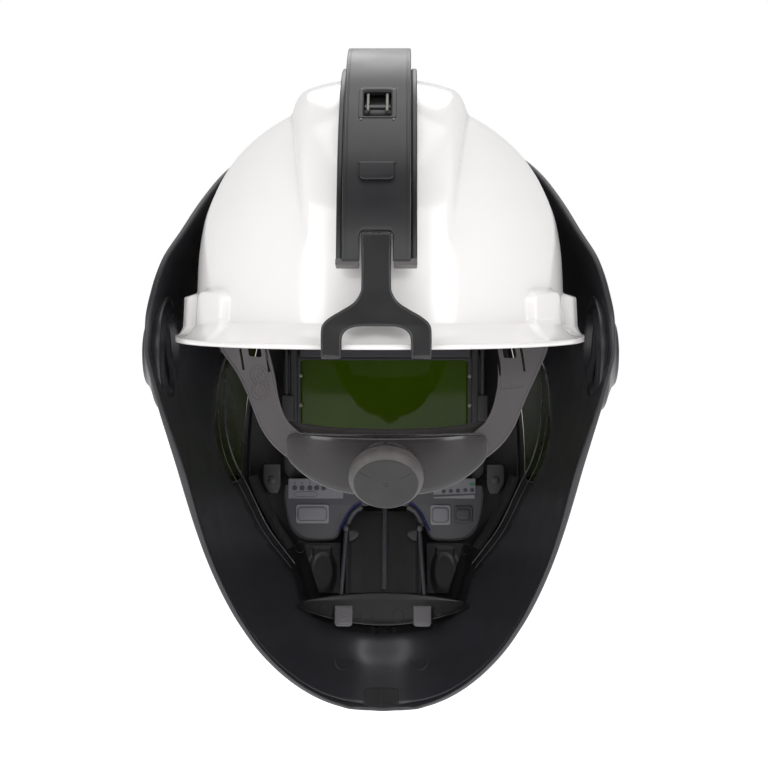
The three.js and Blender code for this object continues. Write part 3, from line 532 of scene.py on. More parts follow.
M = {}
M["hat"] = plastic("hat_white", (232, 230, 229), 0.2, 0.03, grain=260, grain_strength=0.05, grain_depth=0.00003, var=0.012, coat=0.35, coat_rough=0.05, edge=0.0, cloud=9)
M["rail"] = plastic("rail_black", (20, 20, 23), 0.34, 0.05, grain=1500, grain_strength=0.12, var=0.08, edge=0.5, dust=0.25)
M["hook"] = plastic("hook_black", (24, 24, 26), 0.3, 0.05, grain=1100, grain_strength=0.06, var=0.08, edge=0.6)
M["harness"] = plastic("harness_grey", (67, 63, 66), 0.44, 0.05, grain=1200, grain_strength=0.1, var=0.06, edge=0.3)
M["cover"] = plastic("cover_grey", (36, 33, 35), 0.24, 0.05, grain=900, grain_strength=0.05, var=0.07, coat=0.3, edge=0.3)
M["pad"] = plastic("pad_dark", (34, 29, 28), 0.75, 0.08, grain=2200, grain_strength=0.5, grain_depth=0.0002, var=0.2, edge=0.0)
M["strap"] = plastic("strap_grey", (60, 58, 60), 0.8, 0.06, grain=2600, grain_strength=0.6, grain_depth=0.0002, var=0.15, edge=0.0)
M["knob"] = plastic("knob_grey", (27, 25, 26), 0.5, 0.1, grain=700, grain_strength=0.25, grain_depth=0.00008, var=0.2, edge=0.5, cloud=60)
M["shield"] = plastic("shield_black", (40, 39, 43), 0.34, 0.04, grain=1300, grain_strength=0.16, var=0.08, edge=0.3, dust=0.3)
M["frame"] = plastic("frame_black", (26, 25, 27), 0.4, 0.05, grain=1200, grain_strength=0.12, var=0.1, edge=0.4)
# darker black for the sunken field on the shield's inner face: painted shade of the recess
M["field"] = plastic("field_black_painted_shade", (20, 19, 20), 0.42, 0.05, grain=1300, grain_strength=0.12, var=0.1, edge=0.3)
# pale grey for the beads along the step: painted highlight on the black shield
M["line"] = plastic("edge_line_painted_highlight", (78, 77, 82), 0.25, 0.04, grain=1300, grain_strength=0.05, var=0.1, edge=0.2)
M["knob_side"] = plastic("knob_side", (74, 70, 70), 0.55, 0.08, grain=900, grain_strength=0.4, grain_depth=0.0001, var=0.22, edge=0.5, cloud=120)
# pale grey end faces of the black rail: painted highlight
M["foot"] = plastic("rail_end_painted_highlight", (74, 71, 73), 0.4, 0.05, grain=1300, grain_strength=0.1, var=0.08, edge=0.3)
M["panel"] = plastic("panel_grey", (58, 57, 63), 0.42, 0.04, grain=1600, grain_strength=0.1, var=0.05, edge=0.2)
M["key_light"] = plastic("key_light", (126, 123, 127), 0.45, 0.05, grain=1500, grain_strength=0.1, var=0.05, edge=0.0)
M["key_dark"] = plastic("key_dark", (36, 35, 36), 0.35, 0.05, grain=1500, grain_strength=0.1, var=0.05, edge=0.3)
M["tab"] = plastic("tab_grey", (92, 90, 93), 0.45, 0.05, grain=1500, grain_strength=0.1, var=0.06, edge=0.2)
M["strip_grey"] = plastic("strip_grey", (112, 111, 117), 0.4, 0.04, grain=1500, grain_strength=0.05, var=0.03, edge=0.0)
M["blue"] = plastic("line_blue", (38, 46, 104), 0.4, 0.04, grain=1500, grain_strength=0.05, var=0.05, edge=0.0)
M["green_led"] = plastic("mark_green", (30, 110, 70), 0.4, 0.04, grain=1500, grain_strength=0.05, var=0.05, edge=0.0)
M["ink"] = plastic("ink_dark", (52, 51, 54), 0.5, 0.04, grain=1500, grain_strength=0.05, var=0.05, edge=0.0)
M["metal_pin"] = plastic("pin_grey", (120, 118, 112), 0.3, 0.05, grain=1500, grain_strength=0.05, var=0.05, edge=0.0)


def glassy(name, rgb, rough, var=0.25, spec=0.25):
    m, nt, bs = new_material(name)
    tc = nt.nodes.new("ShaderNodeTexCoord").outputs["Object"]
    base = srgb(*rgb)
    c = ramp(nt, noise(nt, 9, 3, 0.5, tc), [(0.3, tuple(v * (1 - var) for v in base[:3]) + (1,)), (0.7, tuple(v * (1 + var) for v in base[:3]) + (1,))])
    nt.links.new(c, bs.inputs["Base Color"])
    nt.links.new(remap(nt, noise(nt, 30, 3, 0.5, tc), rough * 0.7, rough * 1.5, 0.3, 0.7), bs.inputs["Roughness"])
    bs.inputs["Specular IOR Level"].default_value = spec
    nt.links.new(bump(nt, noise(nt, 40, 2, 0.5, tc), 0.03, 0.00002), bs.inputs["Normal"])
    return m


M["filter"] = glassy("filter_green", (56, 78, 3), 0.04)
M["side_green"] = glassy("window_green", (36, 43, 12), 0.22, 0.25, 0.12)


def clear_plate(name):
    m, nt, bs = new_material(name)
    tc = nt.nodes.new("ShaderNodeTexCoord").outputs["Object"]
    c = ramp(nt, noise(nt, 20, 3, 0.5, tc), [(0.3, (0.86, 0.9, 0.89, 1)), (0.7, (0.95, 0.97, 0.96, 1))])
    nt.links.new(c, bs.inputs["Base Color"])
    bs.inputs["Transmission Weight"].default_value = 0.97
    bs.inputs["IOR"].default_value = 1.5
    nt.links.new(remap(nt, noise(nt, 12, 2, 0.5, tc), 0.01, 0.03, 0.3, 0.7), bs.inputs["Roughness"])
    return m


M["clear"] = clear_plate("clear_cover")

BODY = {}


def piece(ob, body, nodes=()):
    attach(ob, body)
    if nodes:
        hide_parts(*([nodes] if isinstance(nodes, str) else nodes))
    return ob


# ------------------------------------------------------------------ hat shell
d_half, d_rear, d_front = (curve_of(DOME["z"], DOME[k]) for k in ("half", "rear", "front"))


def oval(phi, a, b, n):
    return 1 / np.power(np.power(np.abs(np.cos(phi)) / a, n) + np.power(np.abs(np.sin(phi)) / b, n), 1 / n)


def box_mask(v, half, edge):
    return 1 - smooth(half - edge, half + edge, np.abs(v))


def lug(x, y, z):
    side = 7.2 * box_mask(y, 19, 1.6) * box_mask(z - 14.0, 10.2, 1.6) * (0.8 + 0.2 * box_mask(y, 12, 1.2))
    along = (np.abs(x) - 84) * 0.63 + (y + 68) * 0.777
    # rounded square pad on the rear quarter
    u, w = np.abs(along) / 17.5, np.abs(z - 16.5) / 11.5
    d = np.power(np.power(u, 5) + np.power(w, 5), 1 / 5)
    pad = 4.8 * (1 - smooth(0.86, 1.08, d)) * (y < 0)
    return np.maximum(side, pad)


def dome_points(phi, z, offset=0.0):
    phi = np.asarray(phi, float)
    a, b = d_half(z), np.where(np.sin(phi) < 0, d_rear(z), d_front(z))
    r = oval(phi, a, b, 2.12)
    P = np.stack([r * np.cos(phi), r * np.sin(phi), np.full_like(phi, z)], 1)
    n = np.stack([P[:, 0] / 102 ** 2, P[:, 1] / 123 ** 2, np.maximum(0, P[:, 2] - 35) / 100 ** 2], 1)
    n /= np.linalg.norm(n, axis=1, keepdims=True)
    x, y = P[:, 0], P[:, 1]
    half = 48 - 11.5 * np.minimum(1, np.abs(y) / 118) ** 2
    shoulder = 3 + 9 * smooth(48, 125, z)
    u = np.clip((half - np.abs(x)) / shoulder, 0, 1)
    P = P + n * (9.0 * smooth(48, 104, z) * u * (2 - u))[:, None]
    reach = np.hypot(P[:, 1], P[:, 2] - AXIS_Z)
    w = (1 - smooth(23, 30, np.abs(P[:, 0]))) * (reach > 128.3)
    s = 1 + (128.3 / reach - 1) * w
    P[:, 1] *= s
    P[:, 2] = AXIS_Z + (P[:, 2] - AXIS_Z) * s
    if offset == 0:
        o = n.copy()
        o[:, 2] = 0
        o /= np.linalg.norm(o, axis=1, keepdims=True)
        P = P + o * lug(P[:, 0], P[:, 1], P[:, 2])[:, None]
    else:
        P = P - n * offset
    return P


def rim_blend(phi):
    s = np.sin(phi)
    return np.where(s < 0, smooth(0, 1, -s), 0), np.where(s > 0, smooth(0.35, 1, s), 0)


def hat_shell():
    C = 432
    phi = 2 * np.pi * (np.arange(C) + 0.5) / C
    rear, front = rim_blend(phi)
    foot_z = 7 + 5 * rear + 2 * front
    top_z = 2.3 - 0.2 * rear - 7.8 * front
    rim_r = np.where(np.sin(phi) < 0, oval(phi, 112.8, 137.0, 2.35), oval(phi, 112.8, 146.0, 2.1))
    zs = []
    # closer rows where the dome flattens towards the crown and where the lugs are
    for z0, z1, n in ((134.3, 133.2, 5), (133.2, 128, 10), (128, 112, 16), (112, 80, 22), (80, 32, 22), (32, 4, 34)):
        zs += list(np.linspace(z0, z1, n, endpoint=False))
    outer, inner = [], []
    for z in zs:
        if z > 13.0:
            outer.append(dome_points(phi, z))
    # the wall goes down to its own foot all round
    for k in range(12):
        t = (k + 1) / 12
        P = np.zeros((C, 3))
        zz = 13.0 + (foot_z - 13.0) * t
        for i in range(C):
            pass
        a, b = d_half(zz), np.where(np.sin(phi) < 0, d_rear(zz), d_front(zz))
        r = oval(phi, a, b, 2.12)
        P = np.stack([r * np.cos(phi), r * np.sin(phi), zz], 1)
        n = np.stack([np.cos(phi) / 1.0, np.sin(phi) / 1.0, np.zeros(C)], 1)
        fade = lug(P[:, 0], P[:, 1], P[:, 2])
        P = P + n * fade[:, None]
        outer.append(P)
    last = outer[-1]
    r0 = np.hypot(last[:, 0], last[:, 1])
    base = np.stack([oval(phi, d_half(foot_z), np.where(np.sin(phi) < 0, d_rear(foot_z), d_front(foot_z)), 2.12)], 0)[0]
    for k in range(1, 15):
        t = k / 14
        r = r0 + (rim_r - r0) * t
        # a soft inside corner at the foot, then the sloping gutter with a slightly raised edge
        z = foot_z + (top_z - foot_z) * t - 1.3 * np.sin(np.pi * t) ** 0.9
        outer.append(np.stack([r * np.cos(phi), r * np.sin(phi), z], 1))
    for z in list(np.linspace(131.6, 120, 10)) + list(np.linspace(114, 12, 18)):
        inner.append(dome_points(phi, z, 2.6))
    b0 = base - 2.6
    for k in range(5):
        t = k / 4
        r = b0 + (rim_r - b0) * t
        z = foot_z - 1.0 + (top_z - 2.6 - foot_z + 1.0) * t - 1.1 * np.sin(np.pi * t)
        inner.append(np.stack([r * np.cos(phi), r * np.sin(phi), z], 1))
    # outside from the crown out to the rim, round the rim, and back up the inside
    rows = list(outer)
    o, i = outer[-1], inner[-1]
    out_dir = np.stack([np.cos(phi), np.sin(phi), np.zeros(C)], 1)
    mid, hgt = (o + i) / 2, (o[:, 2] - i[:, 2]) / 2
    for k in range(1, 7):
        a = math.pi / 2 - math.pi * k / 7
        rows.append(mid + out_dir * (0.9 * math.cos(a)) - out_dir * 0.9 + np.stack([np.zeros(C), np.zeros(C), hgt * math.sin(a)], 1))
    rows += inner[::-1]
    rings = np.array(rows)
    idx = np.arange(len(rings) * C).reshape(len(rings), C)
    faces = []
    for r in range(len(rings) - 1):
        a, b = idx[r], idx[r + 1]
        for c in range(C):
            d = (c + 1) % C
            faces.append((a[c], b[c], b[d], a[d]))
    verts = list(rings.reshape(-1, 3))
    top = np.array([[0, 0, AXIS_Z + 128.3]])
    verts += [tuple(top[0]), (0, 0, AXIS_Z + 125.6)]
    n0, n1 = len(verts) - 2, len(verts) - 1
    for c in range(C):
        d = (c + 1) % C
        faces.append((n0, idx[0][c], idx[0][d]))
        faces.append((n1, idx[-1][d], idx[-1][c]))
    return mesh_object("hat_dome", verts, faces, M["hat"], 60)


piece(hat_shell(), "hat", "hat_shell")

# ------------------------------------------------------------------ photo rays
CAM_TARGET = np.array([2.0, 0.0, -25.7])
CAM_AZ, CAM_EL, CAM_DIST, CAM_LENS = 0.75, 3.5, 1150.0, 96.3
_a, _e = rad(CAM_AZ), rad(CAM_EL)
CAM_AT = CAM_TARGET + CAM_DIST * np.array([math.sin(_a) * math.cos(_e), -math.cos(_a) * math.cos(_e), math.sin(_e)])
_f = (CAM_TARGET - CAM_AT) / CAM_DIST
_r = np.cross(_f, [0, 0, 1.0])
_r /= np.linalg.norm(_r)
_u = np.cross(_r, _f)


def ray(u, v):
    k = 36.0 / CAM_LENS / 768
    d = _f + _r * (u - 384) * k - _u * (v - 384) * k
    return d


def at_y(u, v, y):
    d = ray(u, v)
    t = (y - CAM_AT[1]) / d[1]
    p = CAM_AT + d * t
    return float(p[0]), float(p[2])


def outline_px(points, y):
    return [at_y(u, v, y) for u, v in points]


# ------------------------------------------------------------------ crown rail
def on_arc(theta_mid, r0):
    """Bends a plate made flat in (x, z) round the lift axis; z up is towards the crown."""
    def fn(P):
        th = rad(theta_mid) - P[:, 2] / r0
        r = r0 - P[:, 1]
        return np.stack([P[:, 0], r * np.cos(th), AXIS_Z + r * np.sin(th)], 1)
    return fn


def arc_plate(name, outline, h0, h1, theta_mid, material, bevel=0.5, holes=(), r0=144.0, step=3.0, smooth_angle=50):
    ob = plate(name, outline, -h1, -h0, material, bevel, holes)
    slice_x(ob, step, "z")
    bend(ob, on_arc(theta_mid, r0), smooth_angle)
    return ob


def sweep(name, section, th0, th1, material, steps=120, smooth_angle=40, taper=0.0):
    """A closed (x, r) section swept about the lift axis."""
    rings = []
    for k in range(steps + 1):
        th = rad(th0 + (th1 - th0) * k / steps)
        rings.append([(x, r * math.cos(th), AXIS_Z + r * math.sin(th)) for x, r in section])
    return rings_object(name, rings, material, True, False, smooth_angle, cap=True)


def rounded_section(points, radii, n=4):
    out = []
    m = len(points)
    for i in range(m):
        p, a, b = np.array(points[i], float), np.array(points[i - 1], float), np.array(points[(i + 1) % m], float)
        r = radii[i] if not np.isscalar(radii) else radii
        if r <= 0:
            out.append(tuple(p))
            continue
        da, db = (a - p), (b - p)
        la, lb = np.linalg.norm(da), np.linalg.norm(db)
        k = min(r, la * 0.45, lb * 0.45)
        p0, p1 = p + da / la * k, p + db / lb * k
        for j in range(n + 1):
            t = j / n
            out.append(tuple((1 - t) ** 2 * p0 + 2 * t * (1 - t) * p + t * t * p1))
    return out


def arc_z(theta, mid):
    return rad(mid - theta) * 144.0


MID = 98.0
top, bottom = arc_z(28.2, MID), arc_z(169.1, MID)
notch = arc_z(163.0, MID)
band = rounded_section([(-16.9, top), (-16.9, bottom), (-8.2, bottom), (-8.2, notch), (8.2, notch), (8.2, bottom), (16.9, bottom), (16.9, top)],
                       [2, 0.8, 0.8, 2.4, 2.4, 0.8, 0.8, 2], 6)
h0, h1 = arc_z(127.6, MID), arc_z(135.8, MID)
hole = rounded_section([(6.9, h0), (6.9, h1), (-6.9, h1), (-6.9, h0)], [2.2, 0.6, 0.6, 2.2], 6)
rail_parts = [arc_plate("rail_band", band, -3.0, 0.0, MID, M["rail"], 0.7, [hole], step=2.6)]
for s in (-1, 1):
    # side wall with a fine groove at its foot, then the outer flange that starts behind the crown
    wall = rounded_section([(s * 14.2, 130.0), (s * 14.2, 142.4), (s * 16.8, 143.2), (s * 17.0, 142.0), (s * 17.0, 130.0)], 0.4, 3)
    rail_parts.append(sweep("rail_wall", wall, 28.3, 169.0, M["rail"], 140))
    flange = rounded_section([(s * 16.6, 130.0), (s * 16.6, 132.4), (s * 17.4, 132.4), (s * 17.6, 133.0), (s * 19.6, 133.0), (s * 20.2, 132.2), (s * 20.2, 130.0)], 0.35, 3)
    rail_parts.append(sweep("rail_flange", flange, 92.0, 168.8, M["rail"], 110))
    # thin raised line along each edge of the band
    line = [(s * x, r) for x, r in rounded_section([(14.7, 143.6), (14.7, 144.25), (15.5, 144.25), (15.5, 143.6)], 0.3, 3)]
    rail_parts.append(sweep("rail_line", line, 100.0, 168.2, M["rail"], 110))
    # end face of each side beside the stem, pale grey as a painted highlight on the black rail
    foot = rounded_section([(s * 8.5, arc_z(169.8, MID)), (s * 20.1, arc_z(169.8, MID)), (s * 20.1, arc_z(168.5, MID)), (s * 8.5, arc_z(168.5, MID))], 0.6, 3)
    rail_parts.append(arc_plate("rail_foot", foot, -12.0, -0.8, MID, M["foot"], 0.5))
# recess round the hole: raised rim with a rounded top, floor below it, pins hanging inside
rim_out = rounded_section([(9.6, h0 + 3.2), (9.6, h1 - 1.6), (-9.6, h1 - 1.6), (-9.6, h0 + 3.2)], [4.2, 1.0, 1.0, 4.2], 8)
rim_in = rounded_section([(7.4, h0 + 0.7), (7.4, h1 - 0.4), (-7.4, h1 - 0.4), (-7.4, h0 + 0.7)], [2.4, 0.6, 0.6, 2.4], 8)
rail_parts.append(arc_plate("rail_rim", rim_out, -0.4, 0.42, MID, M["rail"], 0.35, [rim_in]))
for x in (-4.9, 4.9):
    pin = rounded_section([(x - 0.75, h0 - 0.3), (x + 0.75, h0 - 0.3), (x + 0.75, h1 + 6.0), (x - 0.75, h1 + 6.0)], 0.5, 4)
    rail_parts.append(arc_plate("rail_pin", pin, -2.6, -1.0, MID, M["metal_pin"], 0.6))
bridge = rounded_section([(-6.9, h0 - 9.6), (6.9, h0 - 9.6), (6.9, h0 - 12.4), (-6.9, h0 - 12.4)], 0.4, 3)
rail_parts.append(arc_plate("rail_bridge", bridge, -3.2, -1.6, MID, M["rail"], 0.5))
floor_ = rounded_section([(-11, h0 + 4), (11, h0 + 4), (11, h1 - 4), (-11, h1 - 4)], 1, 3)
rail_parts.append(arc_plate("rail_floor", floor_, -6.4, -5.2, MID, M["key_dark"], 0.3))
for x, dz in ((-8.3, 1.2), (8.3, 1.2), (-8.3, -2.6), (8.3, -2.6)):
    dot = [(x + 0.55 * math.cos(2 * math.pi * k / 16), (h0 if dz > 0 else h1) + dz + 0.55 * math.sin(2 * math.pi * k / 16)) for k in range(16)]
    rail_parts.append(arc_plate("rail_dot", dot, -0.2, 0.62, MID, M["metal_pin"], 0.25))
s0, s1 = arc_z(148.4, MID), arc_z(152.4, MID)
stop = rounded_section([(-8.8, s0), (8.8, s0), (8.8, s1), (-8.8, s1)], [0.9, 0.9, 3.2, 3.2], 6)
rail_parts.append(arc_plate("rail_stop", stop, -0.5, 2.15, MID, M["rail"], 0.6))
shelf = rounded_section([(-9.6, s0 + 1.2), (9.6, s0 + 1.2), (9.6, s0 - 0.2), (-9.6, s0 - 0.2)], 0.3, 3)
rail_parts.append(arc_plate("rail_shelf", shelf, -0.4, 0.5, MID, M["rail"], 0.3))
rail = join(rail_parts, "rail_crown")
piece(rail, "hat", "crown_rail")

# ------------------------------------------------------------------ rear hook
half_hook = [(7.3, 57), (7.3, 33), (8.0, 27.5), (11.2, 22.8), (16.6, 19.3), (22.2, 16.0), (26.0, 12.7), (27.2, 8.6), (27.2, -3.6)]
inner_hook = [(17.0, -3.6), (17.0, 3.6), (16.4, 6.9), (14.2, 9.4), (10.6, 10.8), (6.0, 11.2)]
hook_line = [(7.3, 57)] + smooth_outline(half_hook, False, 1.2)[1:] + smooth_outline(inner_hook, False, 1.0)
hook_outline = hook_line + [(-x, z) for x, z in hook_line[::-1]]
hook = plate("hook", hook_outline, -141.15, -138.2, M["hook"], 0.9, (), 4)
hook_parts = [hook]
lip = smooth_outline([(17.9, -4.0), (17.9, 4.0), (17.1, 7.7), (14.7, 10.4), (10.8, 12.0), (6.0, 12.4), (0, 12.5), (-6.0, 12.4), (-10.8, 12.0), (-14.7, 10.4), (-17.1, 7.7), (-17.9, 4.0), (-17.9, -4.0)], False, 1.0)
hook_parts.append(tube("hook_lip", [(x, -141.1, z) for x, z in lip], 0.42, M["hook"], 8))
spine = smooth_outline([(6.5, 50), (6.5, 33), (7.3, 27.2), (10.6, 22.0), (16.0, 18.5), (21.6, 15.2), (25.3, 12.1), (26.4, 8.4), (26.6, -3.9)], False, 1.2)
for s in (-1, 1):
    hook_parts.append(tube("hook_edge", [(s * x, -141.0, z) for x, z in spine], 0.3, M["hook"], 8))
    # each leg turns under the rim
    path = [(-139.7, -2.4), (-139.5, -3.3), (-138.7, -3.9), (-137.4, -4.05), (-134.0, -3.6), (-129.6, -3.2)]
    rows = []
    P = smooth_outline(path, False, 0.6)
    for i, (y, z) in enumerate(P):
        a, b = P[max(0, i - 1)], P[min(len(P) - 1, i + 1)]
        t = np.array([b[0] - a[0], b[1] - a[1]])
        t /= np.linalg.norm(t)
        n = np.array([t[1], -t[0]])
        sec = rounded_section([(17.2, -1.25), (27.0, -1.25), (27.0, 1.25), (17.2, 1.25)], 0.7, 3)
        k = 1.0 if i < len(P) - 3 else 0.55
        rows.append([(s * x, y + n[0] * w * k, z + n[1] * w * k) for x, w in sec])
    hook_parts.append(rings_object("hook_foot", rows, M["hook"], True, False, 50, cap=True))
piece(join(hook_parts, "hook_rear"), "hat", "rear_hook")

# ------------------------------------------------------------------ head harness
_nape = curve_of(NAPE["x"], NAPE["y"])


def nape_y(x):
    return _nape(np.abs(np.asarray(x, float)))


NAPE_STRIP = [  # upper edge x, z, lower edge x, z
    (61, 16, 91.5, 14), (60, 6, 90.5, 5), (59.1, -4.2, 87.4, -4.8), (58.2, -14, 81.5, -14), (57, -23.7, 75.6, -24.5),
    (54.6, -33, 71, -34.5), (51.2, -39.4, 66.6, -44), (46.5, -43.7, 59.8, -52.6), (42, -46.5, 50, -59.6), (32, -49, 37, -66), (16, -50, 18, -69), (0, -50, 0, -70)]
NAPE_COVER = dict(x=[0, 12, 22, 33, 42, 48, 51, 52.2], top=[-46.3, -46.2, -46, -45.6, -45.2, -45.4, -47, -50.5], low=[-76.4, -76.2, -75.2, -72, -67.2, -62.4, -59, -55.5])
NAPE_PAD = dict(x=[0, 22, 36, 46, 52, 54.5], top=[-43, -42.6, -41.6, -40.6, -40.2, -41.5], low=[-74, -73, -69.5, -64, -56, -48])


def sway_of(z):
    """The band sits a little to the right, more so further down."""
    return 4.6 * smooth(0, 1, (16 - np.asarray(z, float)) / 38)


def sway(ob):
    bend(ob, lambda P: np.stack([P[:, 0] + sway_of(P[:, 2]), P[:, 1], P[:, 2]], 1), 38)
    return ob


def band_point(u, v, lift=1.4):
    y = -75.0
    for _ in range(30):
        x, z = at_y(u, v, y)
        x -= float(sway_of(z))
        y = float(nape_y(x)) - lift
    return x, y, z


def section_ring(L, lo, hi, r, across=12, n=4):
    """Rounded bar: (along 0..L, height lo..hi) with points along its long sides."""
    r = min(r, (hi - lo) / 2 * 0.98, L * 0.4)
    pts = []
    for k in range(across + 1):
        pts.append((r + (L - 2 * r) * k / across, lo))
    for k in range(1, n + 1):
        a = -math.pi / 2 + math.pi / 2 * k / (n + 1)
        pts.append((L - r + r * math.cos(a), lo + r + r * math.sin(a)))
    for k in range(1, n + 1):
        a = math.pi / 2 * k / (n + 1)
        pts.append((L - r + r * math.cos(a), hi - r + r * math.sin(a)))
    for k in range(across + 1):
        pts.append((L - r - (L - 2 * r) * k / across, hi))
    for k in range(1, n + 1):
        a = math.pi / 2 + math.pi / 2 * k / (n + 1)
        pts.append((r + r * math.cos(a), hi - r + r * math.sin(a)))
    for k in range(1, n + 1):
        a = math.pi + math.pi / 2 * k / (n + 1)
        pts.append((r + r * math.cos(a), lo + r + r * math.sin(a)))
    return pts


rows4 = [(ux, uz, lx, lz) for ux, uz, lx, lz in NAPE_STRIP] + [(-ux, uz, -lx, lz) for ux, uz, lx, lz in NAPE_STRIP[:-1][::-1]]
stations = smooth_outline(rows4, False, 2.4)
rings = []
for ux, uz, lx, lz in stations:
    L = math.hypot(lx - ux, lz - uz)
    ring = []
    for p, w in section_ring(L, -1.35, 1.35, 0.9, 12, 3):
        x, z = ux + (lx - ux) * p / L, uz + (lz - uz) * p / L
        ring.append((x, float(nape_y(x)) + w, z))
    rings.append(ring)
arms = rings_object("arms", rings, M["harness"], True, False, 45, cap=True)
cuts = []
for u0, u1, v0, v1, r in ((242.3, 244.7, 340, 370, 0.5), (268.0, 270.4, 340, 372, 0.5), (249, 262, 340, 356.6, 1.4),
                          (499.4, 501.8, 340, 376, 0.5), (523.4, 525.8, 340, 372, 0.5), (504, 517, 340, 358.6, 1.4)):
    x0, y, z0 = band_point(u0, v1)
    x1, y, z1 = band_point(u1, v1)
    zt = band_point(u0, v0)[2]
    cuts.append(plate("cut_slot", rounded_section([(x0, z0), (x1, z0), (x1, zt), (x0, zt)], r, 4), -110, 0, M["harness"], 0.0))
boolean(arms, cuts, "DIFFERENCE", 45)
extra = [arms]


def ring_on_band(x0, z0, r, thick):
    return tube("ring", [(x0 + r * math.cos(2 * math.pi * k / 48), float(nape_y(x0 + r * math.cos(2 * math.pi * k / 48))) - 1.38, z0 + r * math.sin(2 * math.pi * k / 48)) for k in range(48)], thick, M["harness"], 6, True)


def line_on_band(a, b, thick, n=6):
    return tube("tick", [(a[0] + (b[0] - a[0]) * k / n, float(nape_y(a[0] + (b[0] - a[0]) * k / n)) - 1.38, a[1] + (b[1] - a[1]) * k / n) for k in range(n + 1)], thick, M["harness"], 6)


for u, v in ((259.4, 375.6), (260.4, 390.4)):
    x0, _, z0 = band_point(u, v)
    for r in (5.3, 3.4, 1.3):
        extra.append(ring_on_band(x0, z0, r, 0.17))
    for k in range(12):
        a = 2 * math.pi * k / 12
        extra.append(line_on_band((x0 + 3.4 * math.cos(a), z0 + 3.4 * math.sin(a)), (x0 + 5.3 * math.cos(a), z0 + 5.3 * math.sin(a)), 0.1, 2))
    extra.append(line_on_band((x0, z0), (x0 + 2.2, z0 + 2.2), 0.2, 2))
# a small size scale of plain ticks on the other arm
for k in range(9):
    x0, _, z0 = band_point(501.5 + k * 2.6, 389 - k * 0.2)
    extra.append(line_on_band((x0, z0), (x0, z0 + (2.3 if k % 4 == 0 else 1.3)), 0.17, 2))
a, b = band_point(500.5, 389.6), band_point(523.5, 387.8)
extra.append(line_on_band((a[0], a[2]), (b[0], b[2]), 0.15, 8))
# raised hem along both edges of each arm
for s in (-1, 1):
    for side in (0, 1):
        pts = []
        for ux, uz, lx, lz in smooth_outline(NAPE_STRIP, False, 3.0):
            t = 0.07 if side == 0 else 0.93
            x, z = ux + (lx - ux) * t, uz + (lz - uz) * t
            pts.append((s * x, float(nape_y(x)) - 1.3, z))
        extra.append(tube("hem", pts[:-6], 0.28, M["harness"], 6))
piece(sway(join(extra, "nape_arms")), "hat", "nape_band")


def strip_piece(name, tab, lo, hi, r, material, crown=0.0, end_scale=0.6, step=1.6):
    top, low = curve_of(tab["x"], tab["top"]), curve_of(tab["x"], tab["low"])
    end = tab["x"][-1]
    n = int(2 * end / step)
    rings = []
    xs = end * np.sin(np.linspace(-math.pi / 2, math.pi / 2, n))
    for x in xs:
        zt, zl = float(top(abs(x))), float(low(abs(x)))
        L = zt - zl
        e = (1 - min(1, abs(x) / end) ** 8) ** 0.5
        mid, half = (lo + hi) / 2, (hi - lo) / 2 * (0.25 + 0.75 * e)
        ring = []
        for p, w in section_ring(L, -half, half, r, 14, 4):
            q = 2 * p / L - 1
            bow = crown * (1 - q * q) * e
            ring.append((x, float(nape_y(x)) + mid + w + (-bow if w < 0 else bow), zt - p))
        rings.append(ring)
    return rings_object(name, rings, material, True, False, 50, cap=True)


TILT, KNOB_AT = rad(36), np.array([0, -114.8, -63.9])


def on_knob(P):
    c, s = math.cos(TILT), math.sin(TILT)
    return np.stack([P[:, 0], P[:, 1] * c - P[:, 2] * s + KNOB_AT[1], P[:, 1] * s + P[:, 2] * c + KNOB_AT[2]], 1)


def boss_place(P):
    Q = on_knob(P)
    Q[:, 1] = np.minimum(Q[:, 1], -103.0)
    return Q


cover = strip_piece("cover", NAPE_COVER, -5.2, -2.0, 1.5, M["cover"], 0.35)
boss = lathe("boss", [(0.05, 0.5), (13.9, 0.5), (14.6, 0.75), (15.3, 0.5), (15.9, 0.75), (16.5, 1.4), (16.9, 2.4), (17.0, 3.4), (16.7, 4.6), (15.8, 5.8), (12.5, 9), (9, 12), (6, 16), (5, 20), (0.05, 20)], (0, 0, 0), "y", M["cover"], 120)
bend(boss, boss_place, 35)
rim_px = smooth_outline([(300, 433.2), (320, 434.4), (352, 435.0), (384, 435.2), (416, 435.0), (450, 434.4), (481, 433.6)], False, 4)
rim = []
for u, v in rim_px:
    x, y, z = band_point(u, v, 5.3)
    rim.append((x, float(nape_y(x)) - 5.25, z))
piece(sway(join([cover, boss, tube("cover_rim", rim, 0.5, M["cover"], 8)], "nape_cover_piece")), "hat", "nape_cover")

pad = strip_piece("nape_cushion", NAPE_PAD, 3.4, 7.4, 1.9, M["pad"], 0.25)
piece(sway(pad), "hat", "nape_pad")

R = 19.0
knob_profile = smooth_outline([(0.05, -9.1), (0.9, -9.1), (1.15, -9.35), (1.5, -9.1), (8, -8.95), (14.6, -8.62), (15.9, -8.5), (16.4, -8.1), (16.4, -8.1), (17.6, -6.9), (18.5, -5.4), (18.9, -4.4), (18.95, -3.0), (18.8, -0.6), (18.3, -0.05), (18.3, -0.05), (0.05, -0.05)], False, 0.45)
knob_body = lathe("knob_body", knob_profile, (0, 0, 0), "y", M["knob"], 144)
marks = [knob_body]
for deg in (150, 30, 270):
    a = rad(deg)
    marks.append(tube("knob_mark", [(r * math.cos(a), -8.62 - 0.35 * (1 - r / 16.4), r * math.sin(a)) for r in np.linspace(7.1, 15.6, 10)], [0.1] + [0.24] * 8 + [0.1], M["knob"], 8))
knob_all = join(marks, "knob_all")
knob_all.data.materials.append(M["knob_side"])
for p_ in knob_all.data.polygons:
    c_ = p_.center
    if math.hypot(c_[0], c_[2]) > 16.2 * MM and c_[1] > -8.35 * MM:
        p_.material_index = 1
bend(knob_all, on_knob, 30)
